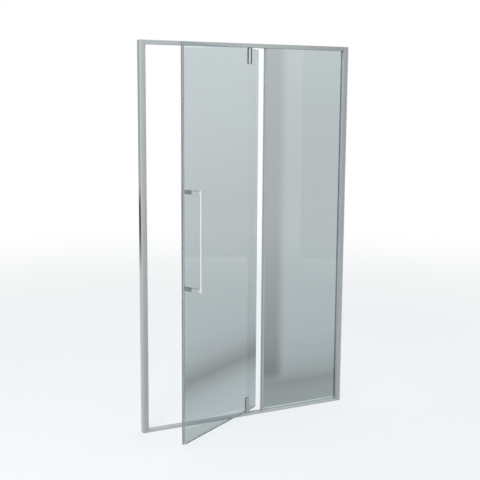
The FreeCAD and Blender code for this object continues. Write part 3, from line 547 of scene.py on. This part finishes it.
def make_finishes(looks):
    metal, handle, seal = looks.frame_colour, looks.handle_colour, looks.seal_colour
    return {
        "upright": satin_aluminium("anodised_upright", metal, "Z"),
        "rail": satin_aluminium("anodised_rail", metal, "X"),
        # painted light: a lighter copy of the frame's aluminium
        "sill": satin_aluminium("anodised_sill_painted_light", scaled(metal, SILL_PAINTED_LIGHT), "X"),
        "channel": satin_aluminium("anodised_channel", looks.channel_colour, "Z"),
        # the outer side's finish carries a painted dark reflection
        "channel_side": satin_aluminium("anodised_channel_side_painted_reflection", looks.channel_colour, "Z", PAINTED_REFLECTION_HEIGHTS),
        "chrome": chrome("bright_plating", looks.chrome_colour),
        "handle": satin_plate("satin_plating", handle),
        # painted shade: a darker copy of the plating for the handles' top faces
        "handle_top_painted_shade": satin_plate("satin_tops_painted_shade", scaled(handle, HANDLE_TOP_PAINTED_SHADE)),
        "steel": turned_steel("turned_stainless", looks.steel_colour),
        "leaf_glass": safety_glass("leaf_glass", looks.leaf_tint, LEAF_PAINTED_SHADE, lines=LEAF_PAINTED_LINES),
        "side_glass": safety_glass(
            "side_glass", looks.side_tint, SIDE_PAINTED_SHADE, strip=POST_PAINTED_SHADE, lines=SIDE_PAINTED_LINES
        ),
        "glass_edge": safety_glass("polished_glass_edge", looks.edge_tint, RIM_PAINTED_SHADE, rim=True),
        "bound_edge": safety_glass("bound_glass_edge", looks.bound_tint, RIM_PAINTED_SHADE, rim=True),
        "clear_seal": soft_clear("clear_vinyl", seal, 0.30),
        "thin_seal": soft_clear("thin_vinyl", seal, 0.07),
        # painted shade: a darker copy of the vinyl for end faces and feet
        "seal_end_painted_shade": soft_clear("vinyl_end_painted_shade", scaled(seal, SEAL_END_PAINTED_SHADE), 0.75),
        "clear_washer": soft_clear("clear_washer", seal, 0.5),
        "gasket": moulded("glazing_rubber", looks.rubber_colour, 1500.0, 0.62, 0.00004),
        "magnet": moulded("magnet_strip", looks.magnet_colour, 2600.0, 0.7, 0.00004),
        # painted light: a lighter copy of the magnet strip for the shaded strike
        "strike": moulded("strike_magnet", looks.strike_painted_light_colour, 2600.0, 0.7, 0.00004),
        "plastic": moulded("grey_moulding", looks.plastic_colour, 1900.0, 0.5, 0.00003),
        "bush": moulded("bearing_plastic", looks.bush_colour, 1700.0, 0.42, 0.00002),
    }


FINISHES = {}
PLAIN_NODES = {
    # painted light: the head's infill takes the paler bearing plastic to lighten its shaded underside
    "head_infill": "bush", "sill_infill": "plastic", "strike_magnet": "strike", "edge_magnet": "magnet",
    "gasket_jamb": "gasket", "gasket_post": "gasket", "gasket_head": "gasket", "gasket_sill": "gasket",
    "pivot_block_low": "bush", "pivot_block_high": "bush", "pivot_pin_low": "steel",
    "pivot_pin_high": "steel", "hinge_liners_low": "clear_washer", "hinge_liners_high": "clear_washer",
}


class SHOWER_OT_finishes(bpy.types.Operator):
    """Make the materials and give the hidden solids theirs"""

    bl_idname = "shower_door.finishes"
    bl_label = "Finishes"

    def execute(self, context):
        FINISHES.update(make_finishes(context.scene.shower_finishes))
        for node, finish in PLAIN_NODES.items():
            data = frame["nodes"][node].data
            data.materials.clear()
            data.materials.append(FINISHES[finish])
        return {"FINISHED"}


# ---------------------------------------------------------------- profiles, panes and seals

FACING = 0.7  # a face looks along an axis when its normal's part along it is over this
SQUARELY = 0.9  # and when it is over this, also without the rounds beside the face
CHANNEL_SIDE_X = -584 * MM  # the wall channel's outer side lies beyond this
SIDE_LIGHT_X = 90 * MM  # edges beyond this belong to the side light, which has none free
FREE_END_X = -551 * MM  # the edge seal's end face lies beyond this, from the pivot
SEAL_FOOT_Z = 23 * MM  # below this, all faces of the leaf's seals take the darker finish


# the outer side takes the finish with the painted dark reflection
def channel_side(normal, middle):
    return 1 if normal.x < -SQUARELY and middle.x < CHANNEL_SIDE_X else 0


def pane_side(normal, middle):
    """0 for a pane's faces, 2 for edges in a seal or groove, and 1 for free edges."""
    if abs(normal.y) > FACING:
        return 0
    return 2 if normal.x < -FACING or normal.z > FACING or middle.x > SIDE_LIGHT_X else 1


# the end face and the foot of the leaf's seals take the vinyl with painted shade
def seal_side(normal, middle):
    return 1 if normal.x < -FACING and middle.x < FREE_END_X or middle.z < SEAL_FOOT_Z else 0


# top faces take the plating with painted shade
def handle_side(normal, middle):
    return 1 if normal.z > FACING else 0


class SHOWER_OT_profiles(bpy.types.Operator):
    """Wall channels, jambs, rails, post and end caps with softened edges"""

    bl_idname = "shower_door.profiles"
    bl_label = "Frame profiles"

    def execute(self, context):
        edge = context.scene.shower_fixings.metal_edge
        profiles = {
            "wall_channel_right": "channel", "jamb_left": "upright", "jamb_right": "upright",
            "closing_post": "upright", "head_rail": "rail", "sill_rail": "sill",
            "jamb_cap_left": "plastic", "jamb_cap_right": "plastic",
        }
        for node, finish in profiles.items():
            dressed(node, [FINISHES[finish]], edge)
        sides = [FINISHES["channel"], FINISHES["channel_side"]]
        dressed("wall_channel_left", sides, edge, pick=channel_side)
        return {"FINISHED"}


class SHOWER_OT_panes(bpy.types.Operator):
    """The leaf's pane and the side light, with arrised and polished edges"""

    bl_idname = "shower_door.panes"
    bl_label = "Panes"

    def execute(self, context):
        arris = context.scene.shower_fixings.arris
        for node, finish in (("door_glass", "leaf_glass"), ("side_light_glass", "side_glass")):
            finishes = [FINISHES[name] for name in (finish, "glass_edge", "bound_edge")]
            dressed(node, finishes, arris, 1, pane_side)
        return {"FINISHED"}


class SHOWER_OT_seals(bpy.types.Operator):
    """Clear seals on the leaf, the post and the jamb"""

    bl_idname = "shower_door.seals"
    bl_label = "Seals"

    def execute(self, context):
        edge = 0.2 * MM
        for node, finish in (("strike_seal", "thin_seal"), ("tail_seal", "clear_seal")):
            dressed(node, [FINISHES[finish]], edge)
        for node in ("edge_seal", "drip_seal"):
            dressed(node, [FINISHES["thin_seal"], FINISHES["seal_end_painted_shade"]], edge, pick=seal_side)
        return {"FINISHED"}


class SHOWER_OT_hinges(bpy.types.Operator):
    """Plated pivot barrels, clamped over the glass"""

    bl_idname = "shower_door.hinges"
    bl_label = "Pivot hinges"

    def execute(self, context):
        for end in ("low", "high"):
            for half in ("body", "cover"):
                dressed(f"hinge_{half}_{end}", [FINISHES["chrome"]], 0.3 * MM)
        return {"FINISHED"}


class SHOWER_OT_handles(bpy.types.Operator):
    """Pull handles on both faces of the leaf"""

    bl_idname = "shower_door.handles"
    bl_label = "Handles"

    def execute(self, context):
        for node in ("handle_outer", "handle_inner"):
            dressed(node, [FINISHES["handle"], FINISHES["handle_top_painted_shade"]], 0.4 * MM, pick=handle_side)
        return {"FINISHED"}


# ---------------------------------------------------------------- turned fixings

TIP = 1e-6  # an outline starts and ends this near the axis
TURNED_WELD = 4e-6  # closes an outline's ends on the axis
THREAD_STEPS = 20
RIDGE_SIDES = 4
KEY_SIDES = 6
RING_SIDES = 40


def moved(graph, mesh, height):
    shift = graph.put("ShaderNodeCombineXYZ", {Z: height})
    return graph.put("GeometryNodeTransform", {"Geometry": mesh, "Translation": shift})


def joined(graph, *meshes):
    node = graph.tree.nodes.new("GeometryNodeJoinGeometry")
    for mesh in reversed(meshes):
        graph.tree.links.new(mesh.socket, node.inputs[0])
    return Wire(graph, node.outputs[0])


def turning(graph, sides, line):
    """A turned solid about Z. line is its outline as (height, radius), from the axis round to the axis."""
    height, radius = line[0]
    ring = graph.put("GeometryNodeMeshCircle", {"Vertices": sides, "Radius": radius}, fill_type="NONE")
    mesh, picked = moved(graph, ring, height), None
    for new_height, new_radius in line[1:]:
        rise = graph.put("ShaderNodeCombineXYZ", {Z: new_height - height})
        inputs = {"Mesh": mesh, "Selection": picked, "Offset": rise, "Offset Scale": 1.0}
        pulled = graph.put("GeometryNodeExtrudeMesh", inputs, mode="EDGES")
        picked = Wire(graph, pulled.socket.node.outputs["Top"])
        inputs = {"Geometry": pulled, "Selection": picked, "Scale": new_radius / radius}
        mesh = graph.put("GeometryNodeScaleElements", inputs, domain="EDGE")
        height, radius = new_height, new_radius
    return graph.put("GeometryNodeMergeByDistance", {"Geometry": mesh, "Distance": TURNED_WELD})


def thread(graph, given, core, start, length):
    """A round-bottomed thread wound on a core."""
    helix = graph.put("GeometryNodeCurveSpiral", {
        "Resolution": THREAD_STEPS, "Rotations": length / given["Thread pitch"], "Start Radius": core,
        "End Radius": core, "Height": length,
    })
    inputs = {"Resolution": RIDGE_SIDES, "Radius": given["Thread depth"]}
    ridge = graph.put("GeometryNodeCurvePrimitiveCircle", inputs, mode="RADIUS")
    inputs = {"Curve": moved(graph, helix, start), "Profile Curve": ridge, "Fill Caps": True}
    return graph.put("GeometryNodeCurveToMesh", inputs)


def keyed(graph, solid, width, top, depth):
    """A solid with the hexagon that a key turns cut into its head."""
    inputs = {"Vertices": KEY_SIDES, "Radius": width, "Depth": depth * 2.0}
    key = moved(graph, graph.put("GeometryNodeMeshCylinder", inputs, fill_type="NGON"), top)
    inputs = {"Mesh 1": solid, "Mesh 2": key}
    return graph.put("GeometryNodeMeshBoolean", inputs, operation="DIFFERENCE", solver="EXACT")


def screw_shape(graph, given):
    """A pan-headed screw: seat at 0, shank along +Z and head below, with a hexagon drive."""
    head, tall = given["Head radius"], given["Head height"]
    shank, length = given["Shank radius"], given["Shank length"]
    core = shank - given["Thread depth"]
    line = [
        (-tall, TIP), (-tall, head * 0.72), (tall * -0.82, head * 0.92), (tall * -0.55, head), (0.0, head),
        (0.0, shank), (length * 0.12, shank), (length * 0.15, core), (length - core * 0.9, core),
        (length, core * 0.35), (length, TIP),
    ]
    solid = turning(graph, given["Sides"], line)
    cut = keyed(graph, solid, head * given["Drive"], -tall, tall * 0.55)
    return joined(graph, cut, thread(graph, given, core, length * 0.18, length * 0.8 - core * 0.9))


def grub_shape(graph, given):
    """A headless socket screw with a cupped point; the drive is at 0 and the point along +Z."""
    shank, length = given["Shank radius"], given["Shank length"]
    core = shank - given["Thread depth"]
    line = [
        (0.0, TIP), (0.0, core * 0.95), (0.0003, core), (length - 0.0006, core), (length, core * 0.6),
        (length - 0.0005, core * 0.4), (length - 0.0005, TIP),
    ]
    solid = turning(graph, given["Sides"], line)
    cut = keyed(graph, solid, shank * given["Drive"], 0.0, length * 0.45)
    return joined(graph, cut, thread(graph, given, core, 0.0006, length - 0.0014))


def stud_shape(graph, given):
    """A threaded rod with a plain waist, from 0 along +Z."""
    shank, length = given["Shank radius"], given["Shank length"]
    core = shank - given["Thread depth"]
    line = [
        (0.0, TIP), (0.0, core * 0.8), (0.0006, core), (length * 0.38, core), (length * 0.39, shank),
        (length * 0.61, shank), (length * 0.62, core), (length - 0.0006, core), (length, core * 0.8),
        (length, TIP),
    ]
    solid = turning(graph, given["Sides"], line)
    threads = [thread(graph, given, core, start, length * 0.34) for start in (0.001, length * 0.64)]
    return joined(graph, solid, *threads)


def ring_shape(graph, given):
    """A washer or sleeve with eased rims, from 0 along +Z."""
    outer, bore, thick = given["Outer radius"], given["Bore radius"], given["Thickness"]
    ease = thick.maths("MINIMUM", 0.0012) * 0.25
    line = [
        (ease, bore), (0.0, bore + ease), (0.0, outer - ease), (ease, outer), (thick - ease, outer),
        (thick, outer - ease), (thick, bore + ease), (thick - ease, bore), (ease, bore),
    ]
    return turning(graph, given["Sides"], line)


def cap_shape(graph, given):
    """A hollow snap cap with a domed face; its rim is at 0 and the dome along +Z."""
    outer, tall, wall = given["Outer radius"], given["Height"], given["Wall"]
    inner = outer - wall
    line = [
        (0.0, inner), (0.0, outer - 0.0002), (0.0003, outer), (tall * 0.55, outer),
        (tall * 0.78, outer * 0.94), (tall * 0.93, outer * 0.76), (tall * 0.985, outer * 0.45), (tall, TIP),
        (tall - wall, TIP * 1.1), (tall - wall, inner * 0.7), (tall * 0.5, inner), (0.0, inner),
    ]
    return turning(graph, given["Sides"], line)


def fixing_tree(name, labels, shape):
    """A node group that puts one turned fixing on each point and points it along the point's aim."""
    tree = bpy.data.node_groups.new(name, "GeometryNodeTree")
    graph = Graph(tree)
    for way in ("INPUT", "OUTPUT"):
        tree.interface.new_socket("Geometry", in_out=way, socket_type="NodeSocketGeometry")
    for label in labels:
        kind = "NodeSocketInt" if label == "Sides" else "NodeSocketFloat"
        socket = tree.interface.new_socket(label, in_out="INPUT", socket_type=kind)
        if label not in ("Drive", "Sides"):
            socket.subtype = "DISTANCE"
    tree.interface.new_socket("Finish", in_out="INPUT", socket_type="NodeSocketMaterial")
    entry = tree.nodes.new("NodeGroupInput")
    given = {label: Wire(graph, entry.outputs[label]) for label in (*labels, "Finish", "Geometry")}
    solid = shape(graph, given)
    aim = graph.put("GeometryNodeInputNamedAttribute", {"Name": "aim"}, data_type="FLOAT_VECTOR")
    turn = graph.put("FunctionNodeAlignRotationToVector", {"Vector": aim}, axis="Z")
    points = graph.put("GeometryNodeMeshToPoints", {"Mesh": given["Geometry"], "Radius": MM})
    inputs = {"Points": points, "Instance": solid, "Rotation": turn}
    placed = graph.put("GeometryNodeInstanceOnPoints", inputs)
    real = graph.put("GeometryNodeRealizeInstances", {"Geometry": placed})
    done = graph.put("GeometryNodeSetMaterial", {"Geometry": real, "Material": given["Finish"]})
    graph.put("NodeGroupOutput", {"Geometry": done})
    return tree


def seats(boxes, axis, way, inset=0.0):
    """Start and aim of a fixing in each box: it starts inset from one end of the box and points along
    an axis, up it where way(middle) is 1 and down it where way(middle) is -1."""
    places = []
    for low, high in boxes:
        place = (low + high) / 2
        sign = way(place)
        place[axis] = low[axis] + inset if sign > 0 else high[axis] - inset
        places.append((place, [float(sign) if i == axis else 0.0 for i in range(3)]))
    return places


def upwards(middle):
    return 1


def girth(boxes, axis):
    """Radius and length of the first box's solid about an axis."""
    low, high = boxes[0]
    across = (axis + 1) % 3
    return (high[across] - low[across]) / 2, high[axis] - low[axis]


def set_fixings(node, places, tree, sizes, finish):
    """Runs a fixing tree on a node's places and leaves one plain mesh in the node's stead."""
    turn = BODY_FRAMES[BODY_OF[node]]
    points = bpy.data.meshes.new(f"{node}_places")
    points.from_pydata([turn @ place for place, _ in places], [], [])
    aims = points.attributes.new("aim", "FLOAT_VECTOR", "POINT")
    for slot, (_, aim) in zip(aims.data, places):
        slot.vector = turn.to_3x3() @ Vector(aim)
    holder = new_object(f"{node}_places", points)
    modifier = holder.modifiers.new("fixings", "NODES")
    modifier.node_group = tree
    given = dict(sizes, Finish=finish)
    for socket in tree.interface.items_tree:
        if socket.in_out == "INPUT" and socket.name in given:
            modifier[socket.identifier] = given[socket.name]
    mesh = bpy.data.meshes.new_from_object(holder.evaluated_get(bpy.context.evaluated_depsgraph_get()))
    bpy.data.objects.remove(holder)
    mesh.name = f"{node}_finished"
    if not mesh.polygons:
        raise RuntimeError(f"{node}: its node tree gave no faces")
    shape = bmesh.new()
    shape.from_mesh(mesh)
    bmesh.ops.remove_doubles(shape, verts=shape.verts, dist=TIP)
    bmesh.ops.recalc_face_normals(shape, faces=shape.faces)
    shape.to_mesh(mesh)
    shape.free()
    smoothed(mesh, FIXING_SHARP)
    stand_in(new_object(mesh.name, mesh), node)


class SHOWER_OT_screws(bpy.types.Operator):
    """Corner, post, lock and clamp screws, with threads and key drives"""

    bl_idname = "shower_door.screws"
    bl_label = "Screws"

    def execute(self, context):
        fixings = context.scene.shower_fixings
        shared = {
            "Thread pitch": fixings.thread_pitch, "Thread depth": fixings.thread_depth,
            "Drive": fixings.drive_share, "Sides": fixings.sides,
        }
        labels = ("Head radius", "Head height", "Shank radius", "Shank length", *shared)
        tree = fixing_tree("pan_screw", labels, screw_shape)
        # node: axis, which way it points, then in mm head radius, head height and shank radius
        rows = {
            "corner_screws": (X, lambda middle: 1 if middle.x < 0 else -1, 3.2, 2.4, 1.85),
            "jamb_lock_screws": (Y, lambda middle: -1, 3.5, 2.0, 1.75),
            "post_screws": (Z, lambda middle: 1 if middle.z < MIDWAY else -1, 2.8, 2.2, 1.25),
            "clamp_screws": (Y, lambda middle: -1, 4.2, 3.0, 2.4),
        }
        for node, (axis, way, *sizes) in rows.items():
            head, tall, shank = (size * MM for size in sizes)
            boxes = solids(node)
            length = max(high[axis] - low[axis] for low, high in boxes) - tall
            here = {
                "Head radius": head, "Head height": tall, "Shank radius": shank, "Shank length": length,
                **shared,
            }
            set_fixings(node, seats(boxes, axis, way, tall), tree, here, FINISHES["steel"])
        return {"FINISHED"}


class SHOWER_OT_grub_screws(bpy.types.Operator):
    """Headless screws of the pivot blocks and handles, and the handles' studs"""

    bl_idname = "shower_door.grub_screws"
    bl_label = "Grub screws and studs"

    def execute(self, context):
        sides = context.scene.shower_fixings.sides
        shared = {"Thread pitch": 0.7 * MM, "Thread depth": 0.22 * MM, "Drive": 0.5, "Sides": sides}
        labels = ("Shank radius", "Shank length", *shared)
        grub = fixing_tree("grub_screw", labels, grub_shape)
        stud = fixing_tree("threaded_stud", labels, stud_shape)
        # node: its tree, axis and which way it points
        rows = {
            "block_screws": (grub, Z, lambda middle: -1 if middle.z < MIDWAY else 1),
            "handle_grub_screws": (grub, Z, upwards),
            "handle_studs": (stud, Y, upwards),
        }
        for node, (tree, axis, way) in rows.items():
            boxes = solids(node)
            radius, length = girth(boxes, axis)
            here = {"Shank radius": radius, "Shank length": length, **shared}
            set_fixings(node, seats(boxes, axis, way), tree, here, FINISHES["steel"])
        return {"FINISHED"}


class SHOWER_OT_rings(bpy.types.Operator):
    """Thrust washer, handle washers, sleeves and the lock screws' snap caps"""

    bl_idname = "shower_door.rings"
    bl_label = "Washers and caps"

    def execute(self, context):
        ring = fixing_tree("ring", ("Outer radius", "Bore radius", "Thickness", "Sides"), ring_shape)
        cap = fixing_tree("snap_cap", ("Outer radius", "Height", "Wall", "Sides"), cap_shape)
        # node: its tree, axis, finish, the label of its length, and its bore radius or wall in mm
        rows = {
            "thrust_washer": (ring, Z, "bush", "Thickness", {"Bore radius": 4.3}),
            "handle_sleeves": (ring, Y, "clear_washer", "Thickness", {"Bore radius": 3.1}),
            "handle_washers": (ring, Y, "clear_washer", "Thickness", {"Bore radius": 3.1}),
            "lock_screw_caps": (cap, Y, "chrome", "Height", {"Wall": 1.0}),
        }
        for node, (tree, axis, finish, long_label, inner) in rows.items():
            boxes = solids(node)
            radius, length = girth(boxes, axis)
            here = {"Outer radius": radius, long_label: length, "Sides": RING_SIDES}
            here.update({label: size * MM for label, size in inner.items()})
            set_fixings(node, seats(boxes, axis, upwards), tree, here, FINISHES[finish])
        return {"FINISHED"}


# ---------------------------------------------------------------- stage

SENSOR_WIDTH = 36.0
FLOOR_REACH = 14.0
FADE_START, FADE_END = 0.6, 7.5  # metres from the middle, over which the floor turns white
FLOOR_SHOWN = 0.72  # near the door, the share of the floor's tone that the lamps don't change
FLOOR_GLOSS = 0.5  # near the door, how much darker metal reflects the floor
CARD_AWAY, CARD_FOOT, CARD_TOP, CARD_STEPS = 4.6, -0.3, 3.8, 24


def add_lamp(name, energy, place, target, size):
    """A round lamp that shines at a target."""
    data = bpy.data.lights.new(name, "AREA")
    data.energy, data.shape, data.size = energy, "DISK", size
    lamp = new_object(name, data)
    lamp.location = place
    lamp.rotation_euler = (Vector(target) - Vector(place)).to_track_quat("-Z", "Y").to_euler()
    return lamp


def set_world(strength):
    """White to the camera, through glass and in gloss; softer where it lights the door."""
    world = bpy.data.worlds.new("studio")
    world.use_nodes = True
    graph = Graph(world.node_tree)
    level = graph.seen() * (1.0 - strength) + strength
    even = graph.put("ShaderNodeBackground", {"Color": rgba(WHITE), "Strength": level})
    graph.put("ShaderNodeOutputWorld", {"Surface": even})
    bpy.context.scene.world = world


def floor_finish(colour):
    """Matt pale floor that keeps the door's shadow and fades into the white backdrop further off."""
    finish, graph = new_finish("studio_floor")
    matt = graph.put("ShaderNodeBsdfDiffuse", {"Color": rgba(colour)})
    place = graph.put("ShaderNodeTexCoord", out="Object")
    distance = graph.put("ShaderNodeVectorMath", {0: place}, "Value", operation="LENGTH")
    far = graph.ramp(distance, FADE_START, FADE_END, easing="SMOOTHERSTEP")
    gloss = graph.ray("Glossy") * (1.0 - graph.ray("Transmission")) * (1.0 - far) * FLOOR_GLOSS
    tone = graph.mix(far, colour, WHITE)
    shown = graph.put("ShaderNodeEmission", {"Color": tone, "Strength": 1.0 - gloss})
    share = graph.seen() * (far * (1.0 - FLOOR_SHOWN) + FLOOR_SHOWN)
    show(graph, graph.put("ShaderNodeMixShader", {0: share, 1: matt, 2: shown}))
    return finish


def add_backing(name, corners, faces, finish):
    """A thin piece of the stage."""
    mesh = bpy.data.meshes.new(name)
    mesh.from_pydata(corners, [], faces)
    mesh.materials.append(finish)
    backing = new_object(name, mesh)
    return backing


def add_card(name, first, last, shade):
    """An upright curved card that only metal and gloss reflect. Its ends are degrees right of +Y."""
    finish, graph = new_finish(name)
    show(graph, graph.put("ShaderNodeEmission", {"Color": (shade, shade, shade * 1.02, 1.0)}))
    turns = [math.radians(first + (last - first) * step / CARD_STEPS) for step in range(CARD_STEPS + 1)]
    ends = [(math.sin(turn) * CARD_AWAY, math.cos(turn) * CARD_AWAY) for turn in turns]
    corners = [(*end, height) for end in ends for height in (CARD_FOOT, CARD_TOP)]
    faces = [(2 * i, 2 * i + 1, 2 * i + 3, 2 * i + 2) for i in range(CARD_STEPS)]
    card = add_backing(name, corners, faces, finish)
    card.visible_camera = card.visible_diffuse = card.visible_transmission = False
    card.visible_shadow = card.visible_volume_scatter = False


class SHOWER_OT_stage(bpy.types.Operator):
    """Floor, lamps, world and the camera"""

    bl_idname = "shower_door.stage"
    bl_label = "Studio"

    def execute(self, context):
        scene = context.scene
        studio = scene.shower_studio
        scene.view_settings.view_transform = "Standard"
        data = bpy.data.cameras.new("camera")
        data.sensor_width, data.lens = SENSOR_WIDTH, studio.lens
        data.shift_x, data.shift_y = studio.shift_across, studio.shift_up
        scene.camera = new_object("camera", data)
        scene.camera.location = studio.place
        scene.camera.rotation_euler = (math.pi / 2 - studio.pitch, 0.0, -studio.yaw)
        corners = [(x * FLOOR_REACH, y * FLOOR_REACH, 0) for x, y in ((-1, -1), (1, -1), (1, 1), (-1, 1))]
        add_backing("floor", corners, [(0, 1, 2, 3)], floor_finish(studio.floor_colour))
        set_world(studio.world_light)
        soft_box = add_lamp("soft_box", 100.0, place=(-2.9, -2.4, 2.8), target=(-0.3, 0.0, 1.0), size=2.0)
        soft_box.visible_glossy = False
        add_lamp("top_light", 40.0, place=(0.6, 0.8, 4.2), target=(0.0, 0.0, 0.6), size=3.0)
        add_card("back_card", -22.0, 50.0, 0.50)
        add_card("left_card", -126.0, -22.0, 0.03)
        add_card("right_card", 50.0, 146.0, 0.15)
        return {"FINISHED"}


# ---------------------------------------------------------------- panel and add-on

GROUPS = {DoorFinishes: "shower_finishes", DoorFixings: "shower_fixings", DoorStudio: "shower_studio"}
OPERATORS = (
    SHOWER_OT_stage, SHOWER_OT_finishes, SHOWER_OT_profiles, SHOWER_OT_panes, SHOWER_OT_seals,
    SHOWER_OT_hinges, SHOWER_OT_handles, SHOWER_OT_screws, SHOWER_OT_grub_screws, SHOWER_OT_rings,
)


class SHOWER_PT_panel(bpy.types.Panel):
    """Lists the door's pieces and settings"""

    bl_idname = "SHOWER_PT_panel"
    bl_label = "Shower door"
    bl_space_type = "VIEW_3D"
    bl_region_type = "UI"
    bl_category = "Shower Door"

    def draw(self, context):
        for group, place in GROUPS.items():
            box = self.layout.box()
            for setting in group.__annotations__:
                box.prop(getattr(context.scene, place), setting)
        for operator in OPERATORS:
            self.layout.operator(operator.bl_idname)


def register():
    for group, place in GROUPS.items():
        bpy.utils.register_class(group)
        setattr(bpy.types.Scene, place, bpy.props.PointerProperty(type=group))
    for kind in (*OPERATORS, SHOWER_PT_panel):
        bpy.utils.register_class(kind)


def unregister():
    for kind in reversed((*OPERATORS, SHOWER_PT_panel)):
        bpy.utils.unregister_class(kind)
    for group, place in GROUPS.items():
        delattr(bpy.types.Scene, place)
        bpy.utils.unregister_class(group)


def main():
    register()
    for operator in OPERATORS:
        getattr(bpy.ops.shower_door, operator.bl_idname.split(".")[1])()


if __name__ == "__main__":
    main()
